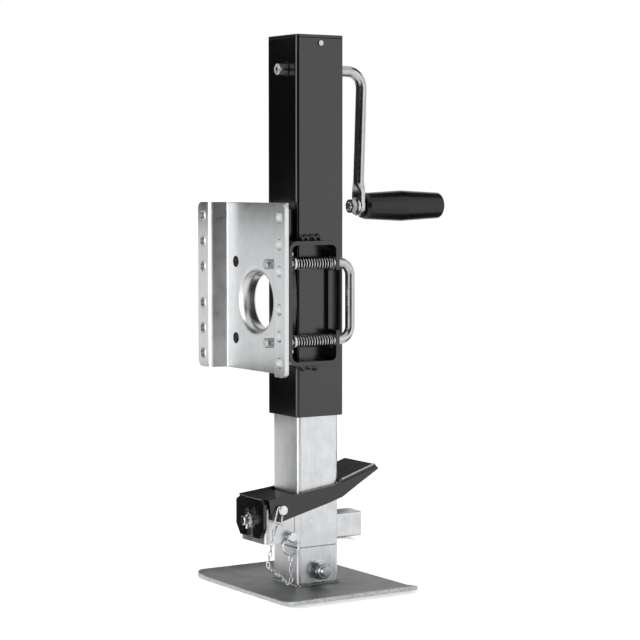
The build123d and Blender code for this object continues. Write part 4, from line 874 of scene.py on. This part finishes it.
def makeFootBolt():
    # plain shank through both washers, threaded tip at its -Y end, hexagon head at +Y
    f = footBolt
    radius = f["radius"] - f["fit"]
    shank = lathe("boltShank", [(f["threadY"], radius), (f["faceY"], radius)], (0, 0, f["z"]), (0, 1, 0),
                  32)
    tip = threadedRod("boltTip", (0, f["threadY"], f["z"]), (0, -1, 0), f["radius"], f["threadLength"],
                      f["thread"])
    head = hexPiece("boltHead", (0, f["faceY"], f["z"]), (0, 1, 0), f["corner"], f["headLength"])
    return joined("footBoltPiece", [shank, tip, head])


finishPiece(makeFootNut(), chromeBar, "leg", ["foot_nut"])
finishPiece(makeFootBolt(), chromeBar, "leg", ["foot_bolt"])

# both pins lie along Y; dome: (in from the head's top, how much smaller than the head's radius)
pinHead = {"radius": 5.9, "length": 4.5, "dome": ((0, 1.6), (0.5, 0.5), (1.2, 0)), "edge": 0.4}
pins = {
    "pedalPinPiece": {"x": -53.0, "z": 96.5, "radius": 5.0, "headY": -33.4, "farY": 40.0, "chamfer": 1.0,
                      "node": "pedal_pin"},
    "lockPinPiece": {"x": -39.5, "z": 64.6, "radius": 4.7, "headY": -32.0, "farY": 34.5, "chamfer": 1.0,
                     "node": "lock_pin"}}


def makePin(name, pin):
    # turned pin: rounded head, straight shank and a chamfered far end
    top, head = pin["headY"] - pinHead["length"], pinHead["radius"]
    profile = [(top + y, head - less) for y, less in pinHead["dome"]]
    profile += [(pin["headY"] - pinHead["edge"], head), (pin["headY"], head - pinHead["edge"]),
                (pin["headY"], pin["radius"]), (pin["farY"] - pin["chamfer"], pin["radius"]),
                (pin["farY"], pin["radius"] - pin["chamfer"])]
    return lathe(name, profile, (pin["x"], 0, pin["z"]), (0, 1, 0), 40)


for name, pin in pins.items():
    finishPiece(makePin(name, pin), zincSmall, "leg", [pin["node"]])

# the chain hangs from the pedal pin to the lock pin; turns: how far every other link is turned, in degrees
tether = {"wire": 0.75, "linkLength": 8.4, "linkWidth": 4.9, "pitch": 6.0, "turns": (-40, 50),
          "route": [(-62, -38.6, 81), (-67, -38.6, 74), (-69, -38.4, 66), (-70, -38.2, 57.5),
                    (-71.5, -38, 49), (-73.5, -37.6, 40), (-73.8, -37.2, 34), (-66, -37, 28),
                    (-57.5, -36.6, 21.5), (-50, -36.2, 15), (-45.6, -36, 11), (-41.8, -35.6, 15.5),
                    (-41.6, -35.2, 25), (-42.4, -35, 34), (-42.2, -34.8, 42.6)]}


def chainLink(name, centre, along, across):
    # stadium path: two half circles joined by straight sides, in the plane of along and across
    r = tether["linkWidth"] / 2 - tether["wire"]
    half = tether["linkLength"] / 2 - tether["wire"] - r
    a = np.linspace(-math.pi / 2, math.pi / 2, 7)
    ends = np.concatenate([np.stack([half + r * np.cos(a), r * np.sin(a)], -1),
                           np.stack([-half - r * np.cos(a), -r * np.sin(a)], -1)])
    path = centre + ends[:, :1] * along + ends[:, 1:] * across
    return rod(name, path, tether["wire"], np.cross(along, across), 8, closed=True)


def makeTether():
    # links at equal steps along the route, each turned a quarter from the one before
    route = np.asarray(tether["route"], float)
    steps = np.linalg.norm(np.diff(route, axis=0), axis=1)
    s = np.concatenate([[0], np.cumsum(steps)])
    count = int(s[-1] / tether["pitch"])
    at = (np.arange(count) + 0.5) * s[-1] / count
    places = np.stack([np.interp(at, s, route[:, k]) for k in range(3)], -1)
    heads = unit(np.gradient(places, axis=0))
    links = []
    for k in range(count):
        side = unit(np.cross(heads[k], (0, -1.0, 0)))
        out = np.cross(heads[k], side)
        turn = math.radians(tether["turns"][k % 2])
        across = math.cos(turn) * side + math.sin(turn) * out
        links.append(chainLink(f"link{k}", places[k], heads[k], across))
    return joined("tetherChain", links)


finishPiece(makeTether(), zincSmall, "leg")

# split ring in the lock pin: its second turn lies nextY further out and is a little smaller
splitRing = {"centre": (-40.2, -31.2, 53.4), "radius": 9.4, "wire": 0.75, "across": (0.96, -0.28, 0),
             "nextY": -1.5, "nextRadius": -0.2}
# bent wire through the pedal pin, and the bar it holds
pinWire = {"wire": 0.8, "bend": 1.8, "barWire": 0.9,
           "loop": [(-51.5, -35.4, 99.5), (-59.2, -35.8, 101.2), (-65.3, -38.0, 84.6),
                    (-56.6, -38.2, 80.9), (-53.4, -35.6, 93.4)],
           "bar": [(-68.2, -39.2, 86.4), (-62, -39.6, 83.6), (-55.2, -39.2, 80.2)]}


def ringPath(centre, radius, along, across, count=40):
    # circle centre + r (cos t * along + sin t * across)
    t = fullTurn(count)[:, None]
    return np.asarray(centre, float) + radius * (np.cos(t) * along + np.sin(t) * across)


def makeRings():
    # both turns of the split ring, the bent wire and the bar it holds
    along, across = np.array([0, 0, 1]), np.array(splitRing["across"])
    x, y, z = splitRing["centre"]
    parts = []
    for k in (0, 1):
        radius = splitRing["radius"] + splitRing["nextRadius"] * k
        path = ringPath((x, y + splitRing["nextY"] * k, z), radius, along, across)
        parts.append(rod(f"lockRing{k}", path, splitRing["wire"], np.cross(along, across), 10,
                         closed=True))
    loop = bentPath(pinWire["loop"], pinWire["bend"], 6)
    parts.append(rod("pinWire", loop, pinWire["wire"], (0, -1, 0), 10))
    parts.append(rod("pinWireBar", pinWire["bar"], pinWire["barWire"], (0, -1, 0), 10))
    return joined("pinRings", parts)


finishPiece(makeRings(), zincSmall, "leg")
print("pins, rings and chain made")

# wander: sideways drift of a bead in mm; swell and pitch: its ripples
frameWeld = {"radius": 4.3, "swell": 0.42, "pitch": 8.5, "wander": 0.9,
             "high": ((-33.5, -32.6, 402.6), (-0.5, -32.6, 402.2)),
             "low": ((-29.5, -32.6, 259.8), (-2.5, -32.6, 259.8))}
socketWeld = {"radius": 2.1, "swell": 0.4, "pitch": 3.8, "wander": 0.6, "height": 5.2, "half": 27.4}
bead = {"rowsPerMm": 2.5, "leastRows": 12, "turns": 18, "drifts": 9, "lumps": 7, "lumpSizes": (0.8, 1.15),
        "leastEnd": 0.02}


def weldBead(name, start, end, weld, outward, seed):
    # half round bead: r(s) = radius * lumps(s) * (1 + swell |sin(pi s / pitch)|), its ends tapered
    start, end = np.asarray(start, float), np.asarray(end, float)
    length = np.linalg.norm(end - start)
    along = (end - start) / length
    outward = unit(np.asarray(outward, float))
    across = np.cross(along, outward)
    s = np.linspace(0, length, max(int(length * bead["rowsPerMm"]), bead["leastRows"]))
    rng = np.random.default_rng(seed)
    drifts = rng.uniform(-weld["wander"], weld["wander"], bead["drifts"])
    wander = np.interp(s, np.linspace(0, length, bead["drifts"]), drifts)
    sizes = rng.uniform(*bead["lumpSizes"], bead["lumps"])
    lumps = np.interp(s, np.linspace(0, length, bead["lumps"]), sizes)
    r = weld["radius"] * lumps * (1 + weld["swell"] * np.abs(np.sin(math.pi * s / weld["pitch"])))
    r *= np.sqrt(np.clip(np.minimum(s, length - s) / weld["radius"], bead["leastEnd"], 1))
    centre = start + s[:, None] * along + wander[:, None] * across
    return surface(name, tubeGrid(centre, r, outward, across, bead["turns"]), caps=True, sharpAngle=80)


def makeFrameWelds():
    # one bead over the strip frame and one under it, on the tube's -Y side
    beads = [weldBead("beadHigh", *frameWeld["high"], frameWeld, (0, -1, 1), 3),
             weldBead("beadLow", *frameWeld["low"], frameWeld, (0, -1, -1), 4)]
    return joined("frameWeldBeads", beads)


def makeSocketWelds():
    # one bead along each side of the socket, on the foot plate
    h, z = socketWeld["half"], socketWeld["height"]
    corners = [(-h, -h), (h, -h), (h, h), (-h, h)]
    sides = ((0, -1, 0.7), (1, 0, 0.7), (0, 1, 0.7), (-1, 0, 0.7))
    beads = [weldBead(f"bead{k}", (*corners[k], z), (*corners[(k + 1) % 4], z), socketWeld, sides[k],
                      10 + k) for k in range(4)]
    return joined("socketWeldBeads", beads)


finishPiece(makeFrameWelds(), enamelTube, "jack_tube", ["frame_welds"])
finishPiece(makeSocketWelds(), weldScale, "leg", ["socket_weld"])
print("welds made")

# the coated slope runs in X and Z from one edge to the other; rows and columns are its grains that way and
# across it, and firstIn and lastIn how far it stops short of its edges
tread = {"from": (28.5, 124.6), "to": (76.0, 139.4), "half": 31.0, "thick": 0.54, "grain": 0.35,
         "sink": 0.2, "firstIn": 1.2, "lastIn": 1.4, "rows": 70, "columns": 90}
# a bright strip along the near edge of the tread plate: a painted highlight where the edge catches the
# light
treadEdgeHighlight = {"gap": 0.2, "lift": 0.5, "radius": 0.9, "in": 1, "middleX": 52}


def makeTread():
    # top height = slope line + thickness + grain * noise(x, y); the rim comes down to the pedal
    x0, z0 = tread["from"]
    x1, z1 = tread["to"]
    rows, columns = tread["rows"], tread["columns"]
    x = x0 + tread["firstIn"] + (x1 - x0 - tread["firstIn"] - tread["lastIn"]) * np.linspace(0, 1, rows)
    y = tread["half"] * np.linspace(-1, 1, columns)
    slope = z0 + (x - x0)[:, None] * (z1 - z0) / (x1 - x0)
    noise = np.random.default_rng(7).uniform(0, 1, (rows, columns))
    noise[0] = noise[-1] = 0
    noise[:, 0] = noise[:, -1] = 0
    top = slope + tread["thick"] + tread["grain"] * noise
    grid = np.stack([np.repeat(x[:, None], columns, 1), np.repeat(y[None], rows, 0), top], -1)
    base = grid.copy()
    base[..., 2] = slope - tread["sink"]
    # two sheets of quads, and one row of them round the rim
    count = rows * columns
    faces = gridFaces(rows, columns)
    lower = [[i + count for i in f[::-1]] for f in faces]
    number = np.arange(count).reshape(rows, columns)
    rim = np.concatenate([number[0], number[1:, -1], number[-1, -2::-1], number[-2:0:-1, 0]])
    after = np.roll(rim, -1)
    sides = np.stack([after, rim, rim + count, after + count], -1).tolist()
    return buildMesh("treadGritSkin", np.concatenate([grid.reshape(-1, 3), base.reshape(-1, 3)]),
                     faces + lower + sides, 80)


def makeTreadEdgeHighlight():
    # a thin round strip along the near edge of the slope, bright: a painted highlight
    (x0, z0), (x1, z1) = tread["from"], tread["to"]
    y, lift = -tread["half"] - treadEdgeHighlight["gap"], treadEdgeHighlight["lift"]
    path = [(x0 + treadEdgeHighlight["in"], y, z0 + lift), (treadEdgeHighlight["middleX"], y, (z0 + z1) / 2 + lift),
            (x1 - treadEdgeHighlight["in"], y, z1 + lift)]
    return rod("treadEdgeHighlightStrip", path, treadEdgeHighlight["radius"], (0, 1, 0), 14)


finishPiece(makeTread(), treadGrit, "pedal", ["pedal_tread"])
finishPiece(makeTreadEdgeHighlight(), bareSteelAndEdgeHighlight, "pedal")

# shapes taken over from the CAD with their sharp edges rounded: node, finish, body, slot, rounding
for node, material, body, slot, width in (
        ("mount_bracket", zincBright, "jack_tube", "zinc", 0.6),
        ("swivel_plate", enamelForged, "jack_tube", "black_paint", 0.6),
        ("pin_frame", enamelForged, "jack_tube", "black_paint", 0.7),
        ("foot_pedal", enamelForged, "pedal", "black_paint", 0.6),
        ("plunger_housing", zincTube, "leg", "zinc", 0.4),
        ("stop_clip", zincSmall, "leg", "zinc", 0.3)):
    finishPiece(roundedCopy(node + "_rounded", node, width), material, body, [node])
# the other nodes keep the CAD's own shape, and each gets its finish
for material, names in (
        (zincTube, ("housing_welds", "drop_leg")),
        (enamelForged, ("plate_spacers", "shaft_bushes")),
        (zincSmall, ("handle_washers", "frame_washers", "handle_pins", "foot_washers", "plunger",
                     "plunger_washer", "plunger_cotter", "grip_washer")),
        (chromeBar, ("cap_screws",)),
        (machinedSteel, ("crank_pinion", "shaft_collar", "shaft_pins", "lift_screw", "bevel_gear",
                         "gear_pin", "bearing_plate", "lower_race", "thrust_rollers", "upper_race",
                         "leg_nut"))):
    for name in names:
        paintNode(name, material)
print("all nodes finished")

bpy.context.scene.view_settings.view_transform = "Standard"
